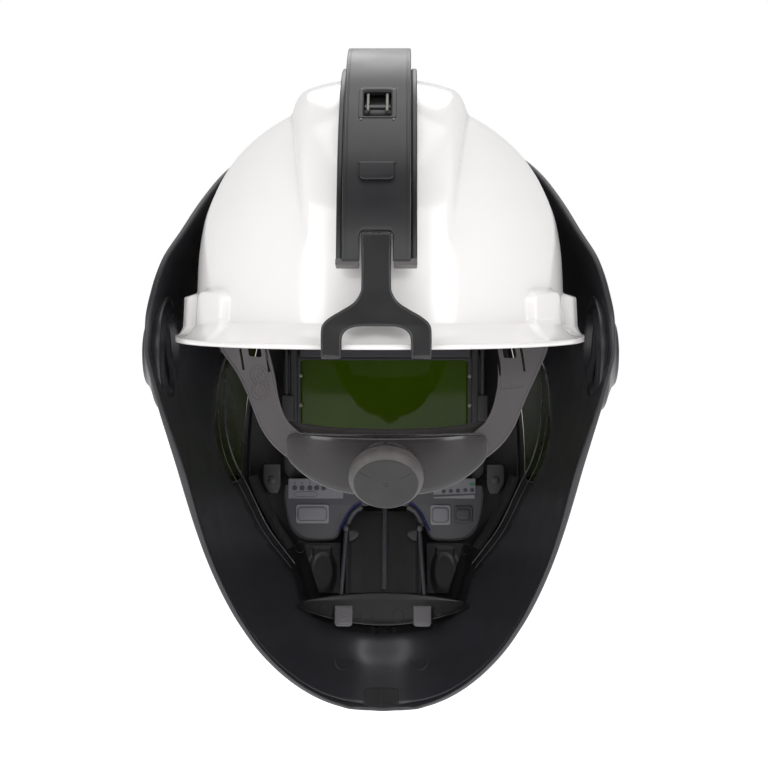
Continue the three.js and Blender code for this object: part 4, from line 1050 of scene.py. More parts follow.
piece(sway(knob_all), "knob", "ratchet_knob")
# ------------------------------------------------------------------ shield surface
s_half, s_rear, s_front, s_square, s_taper = (curve_of([r[0] for r in SHIELD_ROWS], [r[k] for r in SHIELD_ROWS]) for k in range(1, 6))


def depth(x, z):
    h = np.maximum(s_half(z), 1e-6)
    u = np.minimum(1, np.abs(x) / h)
    return s_rear(z) + (s_front(z) - s_rear(z)) * np.power(np.maximum(0, 1 - np.power(u, s_square(z))), 1 / s_taper(z))


def edge_radius(phi):
    c, s = np.cos(phi), np.sin(phi)
    lo, hi = np.zeros_like(phi), np.full_like(phi, 260.0)
    for _ in range(46):
        m = (lo + hi) / 2
        x, z = m * c, CENTRE_Z + m * s
        ok = (z > -235) & (z < 122) & (np.abs(x) < s_half(z))
        lo, hi = np.where(ok, m, lo), np.where(ok, hi, m)
    return lo


def shield_normal(x, z):
    x, z = np.asarray(x, float) * 0.997, CENTRE_Z + (np.asarray(z, float) - CENTRE_Z) * 0.997
    h = 0.05
    sx = (depth(x + h, z) - depth(x - h, z)) / (2 * h)
    sz = (depth(x, z + h) - depth(x, z - h)) / (2 * h)
    n = np.stack([-sx, np.ones_like(sx), -sz], -1)
    return n / np.linalg.norm(n, axis=-1, keepdims=True)


def shield_point(x, z, offset=0.0):
    x, z = np.asarray(x, float), np.asarray(z, float)
    P = np.stack([x, depth(x, z), z], -1)
    return P - shield_normal(x, z) * (np.asarray(offset)[..., None] if np.ndim(offset) else offset)


def on_wall(u, v, offset=2.6):
    """The point of the shield's inner face seen at a pixel of the photo's frame."""
    d = ray(u, v)
    lo, hi = None, None
    prev = None
    for y in np.linspace(-40, 182, 223):
        p = CAM_AT + d * ((y - CAM_AT[1]) / d[1])
        z = p[2]
        inside = -235 < z < 122 and abs(p[0]) < float(s_half(z))
        gap = (float(depth(p[0], z)) - y) if inside else None
        if gap is not None and gap < 0.0 and prev is not None:
            lo, hi = prev, y
            break
        if inside and gap > 0:
            prev = y
        elif not inside and prev is not None:
            lo, hi = prev, y
            break
    if lo is None:
        lo, hi = (prev or 0), (prev or 0) + 1
    for _ in range(30):
        m = (lo + hi) / 2
        p = CAM_AT + d * ((m - CAM_AT[1]) / d[1])
        inside = -235 < p[2] < 122 and abs(p[0]) < float(s_half(p[2]))
        if inside and float(depth(p[0], p[2])) > m:
            lo = m
        else:
            hi = m
    p = CAM_AT + d * ((lo - CAM_AT[1]) / d[1])
    n = shield_normal(p[0], p[2])
    return p - n * offset, n


def wall_path(px, offset=2.6, step=3.0):
    pts = smooth_outline(px, False, step)
    return [tuple(on_wall(u, v, offset)[0]) for u, v in pts]


def shield_grid(cols, targets, tail, offset, phi=None):
    if phi is None:
        phi = 2 * np.pi * (np.arange(cols) + 0.5) / cols
    R = edge_radius(phi)
    start = oval(phi, 60.0, 41.0, 7)
    t = np.linspace(0, 1, 241)[:, None]
    rho = start + (R - start) * (1 - (1 - t) ** 2.6)
    x, z = rho * np.cos(phi), CENTRE_Z + rho * np.sin(phi)
    y = depth(x, z)
    seg = np.sqrt(np.diff(x, axis=0) ** 2 + np.diff(y, axis=0) ** 2 + np.diff(z, axis=0) ** 2)
    L = np.vstack([np.zeros(len(phi)), np.cumsum(seg, 0)])
    rows = []
    T = L[-1]
    want = [None] * (targets + len(tail))
    for k in range(targets):
        want[k] = (T - tail[0]) * (k / targets)
    for j, e in enumerate(tail):
        want[targets + j] = T - e
    for w in want:
        r = np.array([np.interp(w[c], L[:, c], rho[:, c]) for c in range(len(phi))])
        rows.append(r)
    rows = np.array(rows)
    x, z = rows * np.cos(phi), CENTRE_Z + rows * np.sin(phi)
    dist = np.array([T - w for w in want])
    return x, z, dist


TAIL = [7.0, 5.6, 4.6, 4.1, 3.7, 3.2, 2.7, 2.3, 1.8, 1.2, 0.6, 0.0]
COLS = 352
phi_all = 2 * np.pi * (np.arange(COLS) + 0.5) / COLS

# the inner wall steps down to a sunken field inside this line, measured at a few places round the face
STEP_LINE = [(219, 352), (214, 385), (213.5, 431), (221, 462), (234, 487), (262, 540), (291.5, 577.6), (300, 606), (330, 624), (383, 632)]
ang, reach_ = [], []
for u, v in STEP_LINE:
    q, _ = on_wall(u, v)
    ang.append(math.atan2(q[2] - CENTRE_Z, -abs(q[0])) if u < 380 else -math.pi / 2)
    reach_.append(math.hypot(q[0] if u < 380 else 0.0, q[2] - CENTRE_Z))
ang = np.array([a if a >= 0 else a + 2 * math.pi for a in ang])
order = np.argsort(ang)
step_curve = curve_of(ang[order], np.array(reach_)[order])


def step_radius(phi):
    """Radius of the step for any direction, the same on both sides."""
    p = np.mod(phi, 2 * np.pi)
    left = np.where(np.cos(p) < 0, p, np.mod(np.pi - p, 2 * np.pi))
    left = np.where(left < np.pi * 0.5, left + 0, left)
    R_ = edge_radius(phi)
    return np.minimum(step_curve(left), R_ - 12.0), left


def step_height(x, z):
    phi = np.arctan2(z - CENTRE_Z, x)
    rho = np.hypot(x, z - CENTRE_Z)
    shp = phi.shape
    r, left = step_radius(phi.reshape(-1))
    r, left = r.reshape(shp), left.reshape(shp)
    d = rho - r
    strength = 1 - smooth(-0.9, 0.35, np.sin(phi) * 1.0 - 0.0) * 0
    fade = 1 - smooth(0.30, 0.55, np.sin(phi))
    return 3.0 * smooth(-0.5, 0.5, d) * (1 - smooth(5.0, 22.0, d)) * fade


gx, gz, gd = shield_grid(COLS, 46, TAIL, 0)
# rows next to the step close up on it, so that its edge is crisp
phi_g = np.arctan2(gz - CENTRE_Z, gx)
rad_g = np.hypot(gx, gz - CENTRE_Z)
r_line, _ = step_radius(phi_all)
snap = rad_g.copy()
for c in range(COLS):
    col = snap[:, c]
    k = int(np.argmin(np.abs(col[:-14] - r_line[c])))
    if 2 < k < len(col) - 16 and math.sin(phi_all[c]) < 0.6:
        col[k] = r_line[c] - 0.5
        nxt = k + 1
        col[nxt] = r_line[c] + 0.5
        col[k - 1] = min(col[k - 1], col[k] - 0.8)
        if col[nxt + 1] < col[nxt] + 0.6:
            col[nxt + 1] = col[nxt] + 0.6
ix, iz = snap * np.cos(phi_all), CENTRE_Z + snap * np.sin(phi_all)
outer = shield_point(gx, gz, 0.0)
# the inner face has a raised edge and a fine groove just inside it
inset = 2.6 + 0.35 * (1 - smooth(1.9, 2.9, gd)) - 0.45 * np.exp(-((gd - 3.7) / 0.55) ** 2) + step_height(ix, iz)
inner = shield_point(ix, iz, inset)
shell = wall_object("shield_shell_skin", outer, inner, M["shield"], True, True, True, 40, 4)

w_out, w_in = curve_of(SIDE_WINDOW["z"], SIDE_WINDOW["outer"]), curve_of(SIDE_WINDOW["z"], SIDE_WINDOW["inner"])
zs = np.linspace(-91.5, -8.5, 40)
window = [(float(w_out(z)), float(z)) for z in zs] + [(float(w_in(z)), float(z)) for z in zs[::-1]]
cuts = []
for s in (-1, 1):
    cuts.append(plate("cut_window", [(s * x, z) for x, z in window], 30, 210, M["shield"], 0.0))
    cuts.append(lathe("cut_dish", [(0.01, 60), (24, 60), (24, 160), (0.01, 160)], (0, 0, -9), "x" if s > 0 else "-x", M["shield"], 96))
boolean(shell, cuts, "DIFFERENCE", 40)
# painted shade: the sunken field inside the step gets a darker black than the wall, standing in for the shade in that
# recess
shell.data.materials.append(M["field"])
mid_ = np.array([tuple(p.center) for p in shell.data.polygons]) / MM
inside_ = mid_[:, 1] < depth(mid_[:, 0], mid_[:, 2]) - 1.6
line_r, _ = step_radius(np.arctan2(mid_[:, 2] - CENTRE_Z, mid_[:, 0]))
painted_shade_faces = inside_ & (np.hypot(mid_[:, 0], mid_[:, 2] - CENTRE_Z) < line_r - 0.1) & (mid_[:, 2] < 30)
for p, is_dark in zip(shell.data.polygons, painted_shade_faces):
    if is_dark:
        p.material_index = 1

dish_profile = smooth_outline([(0.02, 125.4), (3.0, 125.4), (3.0, 125.4), (3.4, 124.7), (5.2, 124.7), (5.6, 125.4), (5.6, 125.4), (15.2, 125.4), (16.4, 124.9), (21.0, 118.7), (22.2, 117.9), (23.6, 118.0), (27.2, 120.2), (30.0, 119.2), (31.8, 119.0), (32.3, 120.4),
                               (32.1, 123.0), (31.2, 124.8), (27.0, 126.3), (20.0, 129.4), (18.2, 131.1), (17.0, 131.7), (12.6, 131.8), (12.0, 131.3), (11.4, 131.8), (5.0, 131.85), (0.02, 131.85)], False, 0.8)
dishes = []
for s in (-1, 1):
    d = lathe("dish", dish_profile, (0, 0, -9), "x" if s > 0 else "-x", M["shield"], 120, 30)
    turn = rad(4.2) * s
    c_, s_ = math.cos(turn), math.sin(turn)
    bend(d, lambda P, c_=c_, s_=s_: np.stack([P[:, 0] * c_ - P[:, 1] * s_, P[:, 0] * s_ + P[:, 1] * c_, P[:, 2]], 1), 30)
    dishes.append(d)


def patch(name, centre, radius_fn, height, material, edge=0.8, base=2.6, rings=6, segs=64):
    """A low pad on the inner face: a star-shaped outline round centre (x, z)."""
    cx, cz = centre
    rows = []
    fr = [0.02, 0.3, 0.55, 0.75, 0.88]
    a = 2 * np.pi * np.arange(segs) / segs
    R = np.array([radius_fn(t) for t in a])
    rows_off = []
    for f in fr:
        rows.append((R * f, height))
        rows_off.append(height)
    for k, (dr, h) in enumerate(((-edge, height), (-edge * 0.6, height * 0.92), (-edge * 0.25, height * 0.6), (0.0, 0.0), (0.15, -0.35))):
        rows.append((R + dr, h))
    rings_ = []
    for rr, h in rows:
        x, z = cx + rr * np.cos(a), cz + rr * np.sin(a)
        rings_.append(shield_point(x, z, base + h))
    back = shield_point(cx + R * 0.02 * np.cos(a), cz + R * 0.02 * np.sin(a), base - 0.9)
    mid = shield_point(cx + R * np.cos(a), cz + R * np.sin(a), base - 0.9)
    rings_.append(mid)
    rings_.append(back)
    return rings_object(name, rings_, material, True, False, 40, cap=True)


def super_radius(hx, hz, n=6):
    return lambda t: 1 / ((abs(math.cos(t)) / hx) ** n + (abs(math.sin(t)) / hz) ** n) ** (1 / n)


details = []
for u, v, r in ((340, 662, 6.3), (423, 662, 6.3)):
    p, _ = on_wall(u, v)
    details.append(patch("mark", (p[0], p[2]), lambda t, r=r: r, 0.16, M["shield"], 0.5))
    ringp = [tuple(shield_point(p[0] + r * math.cos(2 * math.pi * k / 60), p[2] + r * math.sin(2 * math.pi * k / 60), 2.72)) for k in range(60)]
    details.append(tube("mark_ring", ringp, 0.24, M["shield"], 6, True))
p, _ = on_wall(381, 701)
details.append(patch("lip_plate", (p[0], p[2]), super_radius(11.6, 5.0, 8), 0.3, M["frame"], 0.5))
details.append(tube("lip_seam", [tuple(shield_point(p[0], p[2] + k * 0.5, 2.95)) for k in range(-9, 10)], 0.18, M["ink"], 6))
# raised line along the side walls, on the inner face; its pale grey is a painted highlight
LINE_LEFT = [(219, 352), (216, 372), (213, 398), (213.5, 431), (221, 462), (234, 487), (248, 513), (262, 540), (277, 560), (291.5, 577.6)]
# raised frames on the outer face, round the filter opening and round each side window
def outer_loop(name, xs, zs_, off, thick):
    details.append(tube(name, shield_point(np.array(xs), np.array(zs_), off), thick, M["shield"], 10, True))


tt = 2 * np.pi * np.arange(160) / 160
for grow, thick in ((2.6, 0.9), (7.0, 0.5)):
    rr = oval(tt, 60.0 + grow, 41.0 + grow, 6)
    outer_loop("front_frame", rr * np.cos(tt), CENTRE_Z + rr * np.sin(tt), 0.25, thick)
for s in (-1, 1):
    zf = np.linspace(-93.5, -6.5, 40)
    xs = [float(w_out(z)) + 1.6 for z in zf] + [float(w_in(z)) - 1.6 for z in zf[::-1]]
    outer_loop("window_frame", [s * x for x in xs], list(zf) + list(zf[::-1]), 0.2, 0.7)
for s in (-1, 1):
    base = np.linspace(rad(-57), rad(17), 70)
    ph = base if s > 0 else math.pi - base
    rr, _ = step_radius(ph)
    # pale grey beads just outside the step: painted highlight standing in for the lit edge of the step
    for dr, off, thick in ((0.9, 5.35, 0.5), (3.6, 5.5, 0.22)):
        x, z = (rr + dr) * np.cos(ph), CENTRE_Z + (rr + dr) * np.sin(ph)
        details.append(tube("side_line", shield_point(x, z, off), thick, M["line"], 8))
shell_all = join([shell] + dishes + details, "shell_inner_and_outer")
piece(shell_all, "shield", "shield_shell")

# ------------------------------------------------------------------ green side panes


def slab(name, A, B, material, smooth_angle=40):
    """Two open grids closed round their border; A is the side that is looked at."""
    A, B = np.asarray(A, float), np.asarray(B, float)
    R, C = A.shape[:2]
    ia = np.arange(R * C).reshape(R, C)
    ib = ia + R * C
    faces = []
    for r in range(R - 1):
        for c in range(C - 1):
            faces.append((ia[r, c], ia[r + 1, c], ia[r + 1, c + 1], ia[r, c + 1]))
            faces.append((ib[r, c], ib[r, c + 1], ib[r + 1, c + 1], ib[r + 1, c]))
    for r in range(R - 1):
        faces.append((ia[r, 0], ib[r, 0], ib[r + 1, 0], ia[r + 1, 0]))
        faces.append((ia[r, -1], ia[r + 1, -1], ib[r + 1, -1], ib[r, -1]))
    for c in range(C - 1):
        faces.append((ia[0, c], ia[0, c + 1], ib[0, c + 1], ib[0, c]))
        faces.append((ia[-1, c], ib[-1, c], ib[-1, c + 1], ia[-1, c + 1]))
    return mesh_object(name, np.vstack([A.reshape(-1, 3), B.reshape(-1, 3)]), faces, material, smooth_angle)


for s, nm in ((1, "right"), (-1, "left")):
    zz = np.linspace(-98.0, -2.0, 56)
    X = np.array([np.linspace(float(w_in(z)) - 5, float(w_out(z)) + 6, 26) for z in zz])
    Z = np.repeat(zz[:, None], 26, 1)
    pane = slab("pane_" + nm, shield_point(s * X, Z, 2.3), shield_point(s * X, Z, 0.5), M["side_green"])
    zi = np.linspace(-91.1, -8.9, 40)
    inside = [(s * (float(w_out(z)) - 0.35), float(z)) for z in zi] + [(s * (float(w_in(z)) + 0.35), float(z)) for z in zi[::-1]]
    boolean(pane, [plate("pane_outline", inside, 30, 210, M["side_green"], 0.0)], "INTERSECT", 40)
    seal_px = [(float(w_in(z)) - 0.9, float(z)) for z in np.linspace(-92.6, -7.4, 40)]
    seal = tube("pane_seal_" + nm, [tuple(shield_point(s * x, z, 3.0)) for x, z in seal_px], 0.8, M["frame"], 8)
    piece(join([pane, seal], "pane_" + nm), "shield", "side_window_" + nm)
# ------------------------------------------------------------------ filter module


def px_rect(u0, v0, u1, v1, y, r, n=6):
    x0, z1 = at_y(u0, v0, y)
    x1, z0 = at_y(u1, v1, y)
    return rounded((x0 + x1) / 2, (z0 + z1) / 2, (x1 - x0) / 2, (z1 - z0) / 2, r, n)


def disc(name, u, v, y, r, h, material, segs=40):
    x, z = at_y(u, v, y)
    return lathe(name, [(0.02, -h), (r - 0.35, -h), (r - 0.12, -h * 0.85), (r, -h * 0.45), (r, 0.5), (0.02, 0.5)], (x, y, z), "y", material, segs)


def loop(name, u, v, y, r, thick, material):
    x, z = at_y(u, v, y)
    return tube(name, [(x + r * math.cos(2 * math.pi * k / 48), y, z + r * math.sin(2 * math.pi * k / 48)) for k in range(48)], thick, material, 6, True)


frame_parts = [plate("filter_rim", rounded(0, CENTRE_Z, 64.4, 41.5, 9, 10), 153.7, 161.0, M["frame"], 0.9, [rounded(0, CENTRE_Z, 53.8, 36.7, 2.2, 6)])]
frame_parts.append(plate("filter_step", rounded(0, CENTRE_Z, 56.6, 39.2, 3, 6), 152.9, 154.2, M["frame"], 0.4, [rounded(0, CENTRE_Z, 52.8, 35.8, 2.0, 6)]))
for u0, u1 in ((284.5, 288.5), (290.2, 297.6), (471.8, 478.6), (480.4, 484.4)):
    frame_parts.append(plate("filter_bar", px_rect(u0, 346, u1, 446, 152.6, 0.8), 151.8, 154.2, M["frame"], 0.6))
for u0, u1 in ((281.4, 294.3), (477.0, 488.2)):
    frame_parts.append(plate("filter_bracket", px_rect(u0, 394.7, u1, 421.4, 151.6, 1.6), 150.6, 153.9, M["frame"], 0.6))
for u, v in ((300.6, 375.6), (300.6, 405.2), (469.6, 376.2), (469.6, 405.4)):
    frame_parts.append(disc("filter_screw", u, v, 153.0, 1.25, 0.7, M["metal_pin"], 24))
frame_parts.append(plate("label_strip", px_rect(300, 347.5, 470, 357.0, 152.6, 0.8), 152.3, 153.6, M["panel"], 0.3))
piece(join(frame_parts, "filter_frame_piece"), "shield", "filter_frame")

pane = plate("filter_pane", rounded(0, CENTRE_Z, 53.3, 36.2, 1.8, 6), 156.7, 160.1, M["filter"], 0.35)
piece(pane, "shield", "filter_glass")
cover_front = plate("cover_front", rounded(0, CENTRE_Z, 57.0, 38.0, 9, 10), 166.25, 167.8, M["clear"], 0.5)
piece(cover_front, "shield", "cover_plate")

# ------------------------------------------------------------------ control panel
half = [(0, -98.2), (62, -98.2), (62, -98.2), (63.2, -104), (61.6, -117), (58.4, -126), (53, -131.4), (46, -133.4), (36, -133.4), (30.6, -132.2), (28, -128), (24.9, -120), (19.6, -113.4), (10, -111.2), (0, -111)]
right = smooth_outline(half, False, 1.2)
ring_ = right + [(-x, z) for x, z in right[::-1][1:-1]]
panel_parts = [plate("panel", ring_, 140.4, 143.5, M["panel"], 0.5)]
border = [(x * 0.985, 139.95 + 0.3, z + (0.9 if z < -125 else 0)) for x, z in right if z < -99]
for s in (-1, 1):
    panel_parts.append(tube("panel_border", [(s * x, y, z) for x, y, z in border if z < -112.5 or x > 30], 0.45, M["frame"], 6))
strip_l = outline_px([(288.4, 478.6), (343.2, 478.6), (343.2, 498.5), (288.4, 498.5)], 140.2)
strip_r = outline_px([(433.5, 478.6), (475.4, 478.6), (475.4, 493.4), (433.5, 494.6)], 140.2)
wedge = outline_px([(433.5, 497.0), (474.8, 494.6), (474.8, 498.6), (433.5, 498.2)], 140.2)
for nm, o in (("strip_left", strip_l), ("strip_right", strip_r)):
    panel_parts.append(plate(nm, rounded_section(o, 0.4, 3), 140.05, 140.8, M["strip_grey"], 0.12))
panel_parts.append(plate("wedge", wedge, 140.02, 140.8, M["key_light"], 0.1))
for u in (294.8, 302.1, 309.9, 316.7, 323.8):
    panel_parts.append(disc("dot", u, 487.9, 140.05, 1.35, 0.28, M["ink"]))
    panel_parts.append(loop("dot_ring", u, 487.9, 139.95, 1.5, 0.14, M["panel"]))
    x, z = at_y(u, 482.8, 140.05)
    panel_parts.append(plate("tick", rounded(x, z, 0.25, 0.8, 0.15, 2), 139.95, 140.3, M["ink"], 0.08))
for u, v in ((443.6, 491.4), (450.7, 491.0), (457.8, 490.8), (465.3, 490.2), (472.0, 490.2)):
    panel_parts.append(disc("dot", u, v, 140.05, 1.3, 0.28, M["ink"]))
lozenge = outline_px([(293.6, 494.2), (297.2, 491.7), (314.4, 491.7), (317.9, 494.2), (314.4, 496.8), (297.2, 496.8)], 140.0)
panel_parts.append(tube("lozenge", [(x, 140.0, z) for x, z in lozenge], 0.14, M["ink"], 6, True))
panel_parts.append(plate("green_mark", px_rect(469.6, 482.9, 474.3, 485.9, 140.05, 0.3), 139.85, 140.4, M["green_led"], 0.1))
for pts in ([(361.5, 501.5), (354.5, 506.2), (349.0, 512.6), (344.4, 520.5), (339.2, 531)], [(408.4, 501.5), (415.2, 506.2), (420.6, 512.6), (424.6, 520.5), (429.4, 531)]):
    panel_parts.append(tube("blue_line", [(x, 140.3, z) for x, z in (at_y(u, v, 140.3) for u, v in smooth_outline(pts, False, 2))], 0.85, M["blue"], 8))
piece(join(panel_parts, "panel_piece"), "shield", "control_panel")

for node, box_px, frame_mat, cap_mat, slot in (("key_left", (296.0, 504.4, 329.0, 523.5), "key_light", "strip_grey", "key_light"),
                                              ("key_middle", (430.4, 505.0, 450.7, 525.0), "key_light", "strip_grey", "key_light"),
                                              ("key_right", (454.0, 505.8, 472.6, 523.0), "key_dark", "key_dark", "key_dark")):
    u0, v0, u1, v1 = box_px
    p = [plate("key", px_rect(u0, v0, u1, v1, 139.4, 1.6), 139.2, 140.05, M[frame_mat], 0.35)]
    p.append(plate("key_cap", px_rect(u0 + 2.2, v0 + 3.0, u1 - 2.6, v1 - 3.4, 138.9, 2.2), 138.65, 139.5, M[cap_mat], 0.4))
    p.append(tube("key_line", [(x, 139.1, z) for x, z in px_rect(u0 + 1.6, v0 + 2.3, u1 - 2.0, v1 - 2.7, 139.1, 2.4, 5)], 0.16, M["ink"], 6, True))
    piece(join(p, node + "_piece"), "shield", node)

# ------------------------------------------------------------------ chin panel


def chin_y(z):
    """Rear face of the sloping chin panel at a height."""
    return 147.0 + (np.asarray(z, float) + 116.0) * (147.0 - 121.5) / 45.0


zz, xx = np.linspace(-116.2, -163.4, 60), np.linspace(-23.4, 23.4, 61)
Z, X = np.meshgrid(zz, xx, indexing="ij")
chan = chin_y(Z) + 1.6 * np.sin(np.pi * np.clip(np.abs(X) / 23.4, 0, 1)) - 1.2 * smooth(19, 23.4, np.abs(X))
floor_piece = slab("channel", np.stack([X, chan, Z], -1), np.stack([X, chin_y(Z) + 3.0, Z], -1), M["frame"])
chin_parts = [floor_piece]


def bar(name, pts, wx, wy, material, r=0.6):
    """A rib along (x, y, z) points, wx wide and wy deep, its rear face on the points."""
    rings = []
    for i, p in enumerate(pts):
        sec = rounded_section([(-wx / 2, 0), (wx / 2, 0), (wx / 2, wy), (-wx / 2, wy)], r, 3)
        rings.append([(p[0] + a, p[1] + b, p[2]) for a, b in sec])
    return rings_object(name, rings, material, True, False, 45, cap=True)


chin_parts.append(bar("mid_rib", [(0.6, float(chin_y(z)) - 3.6, z) for z in np.linspace(-113.5, -160.6, 24)], 3.3, 3.9, M["panel"], 1.1))
for s in (-1, 1):
    top_uv, low_uv = ((346.4, 528.7), (340.6, 599)) if s < 0 else ((419.4, 528.7), (424.6, 599))
    xt, zt = at_y(*top_uv, 133.5)
    xl, zl = at_y(*low_uv, 114.0)
    pts = [(xt + (xl - xt) * k / 20, 133.5 + (113.4 - 133.5) * k / 20, zt + (zl - zt) * k / 20) for k in range(21)]
    chin_parts.append(bar("side_rib", pts, 2.7, 9.5, M["panel"], 1.2))
    chin_parts.append(lathe("rib_nub", [(0.02, -1.4), (1.3, -1.3), (1.9, -0.8), (2.1, 0), (2.1, 4), (0.02, 4)], (xt + s * 0.2, 133.3, zt + 0.2), "y", M["panel"], 32))
    shelf_ = [(xt - s * 1.2, zt - 1.0), (xt - s * 7.2, zt - 2.0), (xt - s * 8.0, zt - 4.4), (xt - s * 4.4, zt - 7.6), (xt - s * 1.2, zt - 8.2)]
    chin_parts.append(plate("rib_shelf", rounded_section(shelf_, 0.8, 3), 134.8, 137.4, M["frame"], 0.5))
    # wing with its scooped dish
    zw, xw = np.linspace(-134.4, -163.4, 60), np.linspace(27.2, 50.6, 50)
    Z, T = np.meshgrid(zw, np.linspace(0, 1, 50), indexing="ij")
    edge = 50.6 + (41.2 - 50.6) * (Z + 134.4) / (-160.8 + 134.4)
    X = 27.2 + (edge - 27.2) * T
    d = np.sqrt(((X - 38.0) / 10.6) ** 2 + ((Z + 151.5) / 16.2) ** 2)
    d2 = np.where(X < 38.0, np.sqrt(((X - 38.0) / 9.6) ** 2 + ((Z + 151.5) / 16.2) ** 2), d)
    bowl = 3.6 * (1 - smooth(0.55, 1.0, d2)) - 0.55 * np.exp(-((d2 - 1.03) / 0.05) ** 2)
    notch_ = 2.4 * (1 - smooth(5.2, 6.2, np.abs(X - 38.6))) * (1 - smooth(2.0, 3.0, np.abs(Z + 139.6)))
    face = 121.5 + (Z + 161) * 25.5 / 45 + np.maximum(bowl, notch_) * 0.75
    wing = slab("wing", np.stack([s * X, face, Z], -1), np.stack([s * X, 121.5 + (Z + 161) * 25.5 / 45 + 3.0, Z], -1), M["frame"], 50)
    chin_parts.append(wing)
    u, v = (300, 547.5) if s < 0 else (466.5, 549.5)
    x0, z0 = at_y(u, v, 134.0)
    yy = 121.5 + (z0 + 161) * 25.5 / 45
    chin_parts.append(tube("wing_mark", [(x0 + 3.2 * math.cos(2 * math.pi * k / 40), yy + 3.2 * math.sin(2 * math.pi * k / 40) * 25.5 / 45 - 0.05, z0 + 3.2 * math.sin(2 * math.pi * k / 40)) for k in range(40)], 0.22, M["frame"], 6, True))
    # rounded shoulder between the panel's arch and the channel
    arch = [(362, 507), (355.5, 510.8), (350.4, 517.6), (346.6, 526.4)] if s < 0 else [(407.6, 507), (414.4, 510.8), (419.2, 517.6), (422.6, 526.4)]
    chin_parts.append(tube("shoulder", [(x, 139.0, z) for x, z in (at_y(u, v, 139.0) for u, v in smooth_outline(arch, False, 2))], 1.9, M["panel"], 12))
chin = join(chin_parts, "chin_panel_piece")
piece(chin, "shield", "chin_panel")

# ------------------------------------------------------------------ chin ledge, tabs, clips


def ledge_y(x, k):
    t = np.abs(x) / 53
    return 115 - 8.5 * k / 2 - 10.5 * t * t


rings = []
for x in np.linspace(-52.8, 52.8, 97):
    t = abs(x) / 53
    top_, low_ = -162.2 - 4.2 * t * t, -181.4 + 13.4 * t * t
    L = top_ - low_
    ring = []
    for p, w in section_ring(L, 0.0, 2.5, 0.8, 14, 3):
        k = 2 * p / L
        dip = 0.7 * smooth(0.05, 0.16, p / L) * (1 - smooth(0.86, 0.97, p / L)) * (w < 0.6)
        ring.append((x, float(ledge_y(x, k)) + w + dip, top_ - p))
    rings.append(ring)
ledge_parts = [rings_object("ledge", rings, M["frame"], True, False, 45, cap=True)]
for u, v, r_ in ((324.0, 609.0, 2.5), (366.3, 615.0, 3.5), (398.1, 615.0, 3.5), (438.4, 609.0, 2.5)):
    x0, z0 = at_y(u, v, 111.5)
    pts = []
    for k in range(40):
        a = 2 * math.pi * k / 40
        x, z = x0 + r_ * math.cos(a), z0 + r_ * math.sin(a)
        t = abs(x) / 53
        top_, low_ = -162.2 - 4.2 * t * t, -181.4 + 13.4 * t * t
        kk = 2 * (top_ - z) / (top_ - low_)
        pts.append((x, float(ledge_y(x, kk)) + 0.6, z))
    ledge_parts.append(tube("ledge_mark", pts, 0.22, M["frame"], 6, True))
piece(join(ledge_parts, "chin_ledge"), "shield", "chin_plate")

for s, nm in ((1, "right"), (-1, "left")):
    x0, x1 = 18.7, 29.7
    out = rounded_section([(x0, 0), (x1, 0), (x1, -13.0), (x0, -13.0)], [0.8, 0.8, 2.6, 2.6], 6)
    tb = [plate("tab", [(s * x, z) for x, z in out], 0, 1.9, M["tab"], 0.55)]
    tb.append(plate("tab_face", [(s * (24.2 + (x - 24.2) * 0.78), -1.2 + z * 0.8) for x, z in out], -0.22, 0.4, M["tab"], 0.2))
    if s < 0:
        tb.append(lathe("tab_mark", [(1.2, 0.1), (1.2, -0.4), (1.6, -0.55), (2.0, -0.55), (2.4, -0.4), (2.4, 0.1)], (s * 24.2, 0.0, -6.6), "y", M["tab"], 36))
    tab = join(tb, "tab_" + nm)
    c, q = 11.8 / 13.2, 5.9 / 13.2
    bend(tab, lambda P: np.stack([P[:, 0], 104.8 + P[:, 2] * q + P[:, 1] * c, -168.6 + P[:, 2] * c - P[:, 1] * q], 1), 45)
    piece(tab, "shield", "chin_tab_" + nm)
    clip_out = rounded_section([(64.6, -84.1), (75.9, -84.1), (76.4, -96), (72.4, -103.4), (66.5, -103.4), (64.6, -98)], [1.5, 1.5, 3, 2, 1.5, 2], 5)
    cl = [plate("clip", [(s * x, z) for x, z in clip_out], 136.5, 140.3, M["frame"], 0.8)]
    cl.append(lathe("clip_mark", [(0.02, -0.5), (2.2, -0.5), (2.6, -0.3), (2.6, 1.0), (0.02, 1.0)], (s * 70.4, 136.6, -94.4), "y", M["frame"], 36))
    cl.append(plate("clip_lip", [(s * x, z) for x, z in rounded(70.2, -85.4, 5.0, 0.9, 0.6, 4)], 135.9, 137.0, M["frame"], 0.3))
    piece(join(cl, "clip_" + nm), "shield", "side_clip_" + nm)

# ------------------------------------------------------------------ carried-over nodes
KEEP = {"brow_band": "harness", "crown_strap_side": "strap", "crown_strap_long": "strap", "front_clip": "rail", "rail_carriage": "rail",
        "side_trim_right": "frame", "side_trim_left": "frame"}
for node, mat in KEEP.items():
    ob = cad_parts[node]
    ob.data.materials.clear()
    ob.data.materials.append(M[mat])
# ------------------------------------------------------------------ camera, light, floor
cam_data = bpy.data.cameras.new("camera")
cam = bpy.data.objects.new("camera", cam_data)
bpy.context.scene.collection.objects.link(cam)
cam_data.sensor_width = 36
cam_data.lens = CAM_LENS
tgt = Vector([c * MM for c in CAM_TARGET])
cam.location = Vector([c * MM for c in CAM_AT])
cam.rotation_euler = (tgt - cam.location).to_track_quat("-Z", "Y").to_euler()
bpy.context.scene.camera = cam


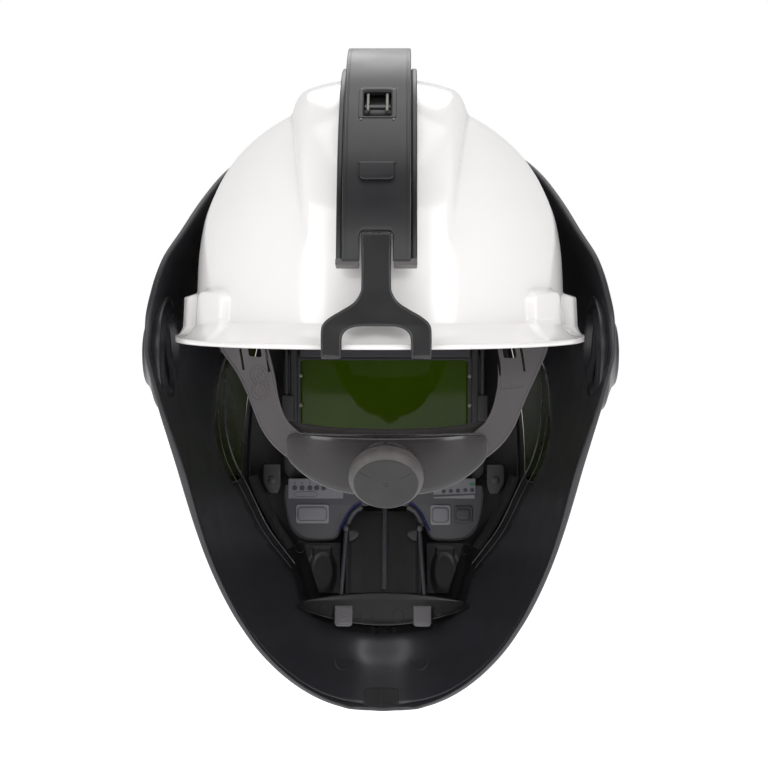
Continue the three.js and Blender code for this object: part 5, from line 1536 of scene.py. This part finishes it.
def area(name, loc, size, energy, look=(0, 0, -0.03), size_y=None, color=(1, 1, 1)):
    ld = bpy.data.lights.new(name, "AREA")
    ld.energy = energy
    ld.size = size
    ld.color = color
    if size_y:
        ld.shape = "RECTANGLE"
        ld.size_y = size_y
    o = bpy.data.objects.new(name, ld)
    o.location = loc
    o.rotation_euler = (Vector(look) - Vector(loc)).to_track_quat("-Z", "Y").to_euler()
    bpy.context.scene.collection.objects.link(o)
    return o


area("key_left", (-1.05, -1.25, 0.45), 0.5, 6.0, size_y=0.9)
area("key_right", (1.05, -1.25, 0.45), 0.5, 6.0, size_y=0.9)
area("top", (0, -0.1, 1.4), 1.1, 7)
area("fill", (0, -1.5, 0.7), 1.7, 6, size_y=0.45)
area("rail_top", (0, 1.1, 1.2), 0.9, 5.5, look=(0, -0.05, 0.12))
bpy.context.scene.view_settings.view_transform = "Standard"
world = bpy.data.worlds.new("studio")
bpy.context.scene.world = world
world.use_nodes = True
wt = world.node_tree
bg = wt.nodes["Background"]
bg.inputs[0].default_value = (1, 1, 1, 1)
lp = wt.nodes.new("ShaderNodeLightPath")
direction = wt.nodes.new("ShaderNodeTexCoord").outputs["Generated"]
sep = wt.nodes.new("ShaderNodeSeparateXYZ")
wt.links.new(direction, sep.inputs[0])
dim = remap(wt, sep.outputs[1], 0.22, 0.75, -1, 1)      # dim studio behind the camera, white sweep in front of it
strength = wt.nodes.new("ShaderNodeMix")
wt.links.new(lp.outputs["Is Camera Ray"], strength.inputs[0])
wt.links.new(dim, strength.inputs[2])
strength.inputs[3].default_value = 1.0
wt.links.new(strength.outputs[0], bg.inputs[1])

fl = mesh_object("studio_floor", [(-6000, -6000, -420), (6000, -6000, -420), (6000, 9000, -420), (-6000, 9000, -420)], [(0, 1, 2, 3)], None)
fm, fnt, fbs = new_material("floor_white")
tcf = fnt.nodes.new("ShaderNodeTexCoord").outputs["Object"]
fnt.links.new(ramp(fnt, noise(fnt, 3, 2, 0.5, tcf), [(0.3, (0.90, 0.90, 0.90, 1)), (0.7, (0.93, 0.93, 0.93, 1))]), fbs.inputs["Base Color"])
fbs.inputs["Roughness"].default_value = 0.8
fbs.inputs["Emission Color"].default_value = (1, 1, 1, 1)
fbs.inputs["Emission Strength"].default_value = 0.6
fl.data.materials.append(fm)
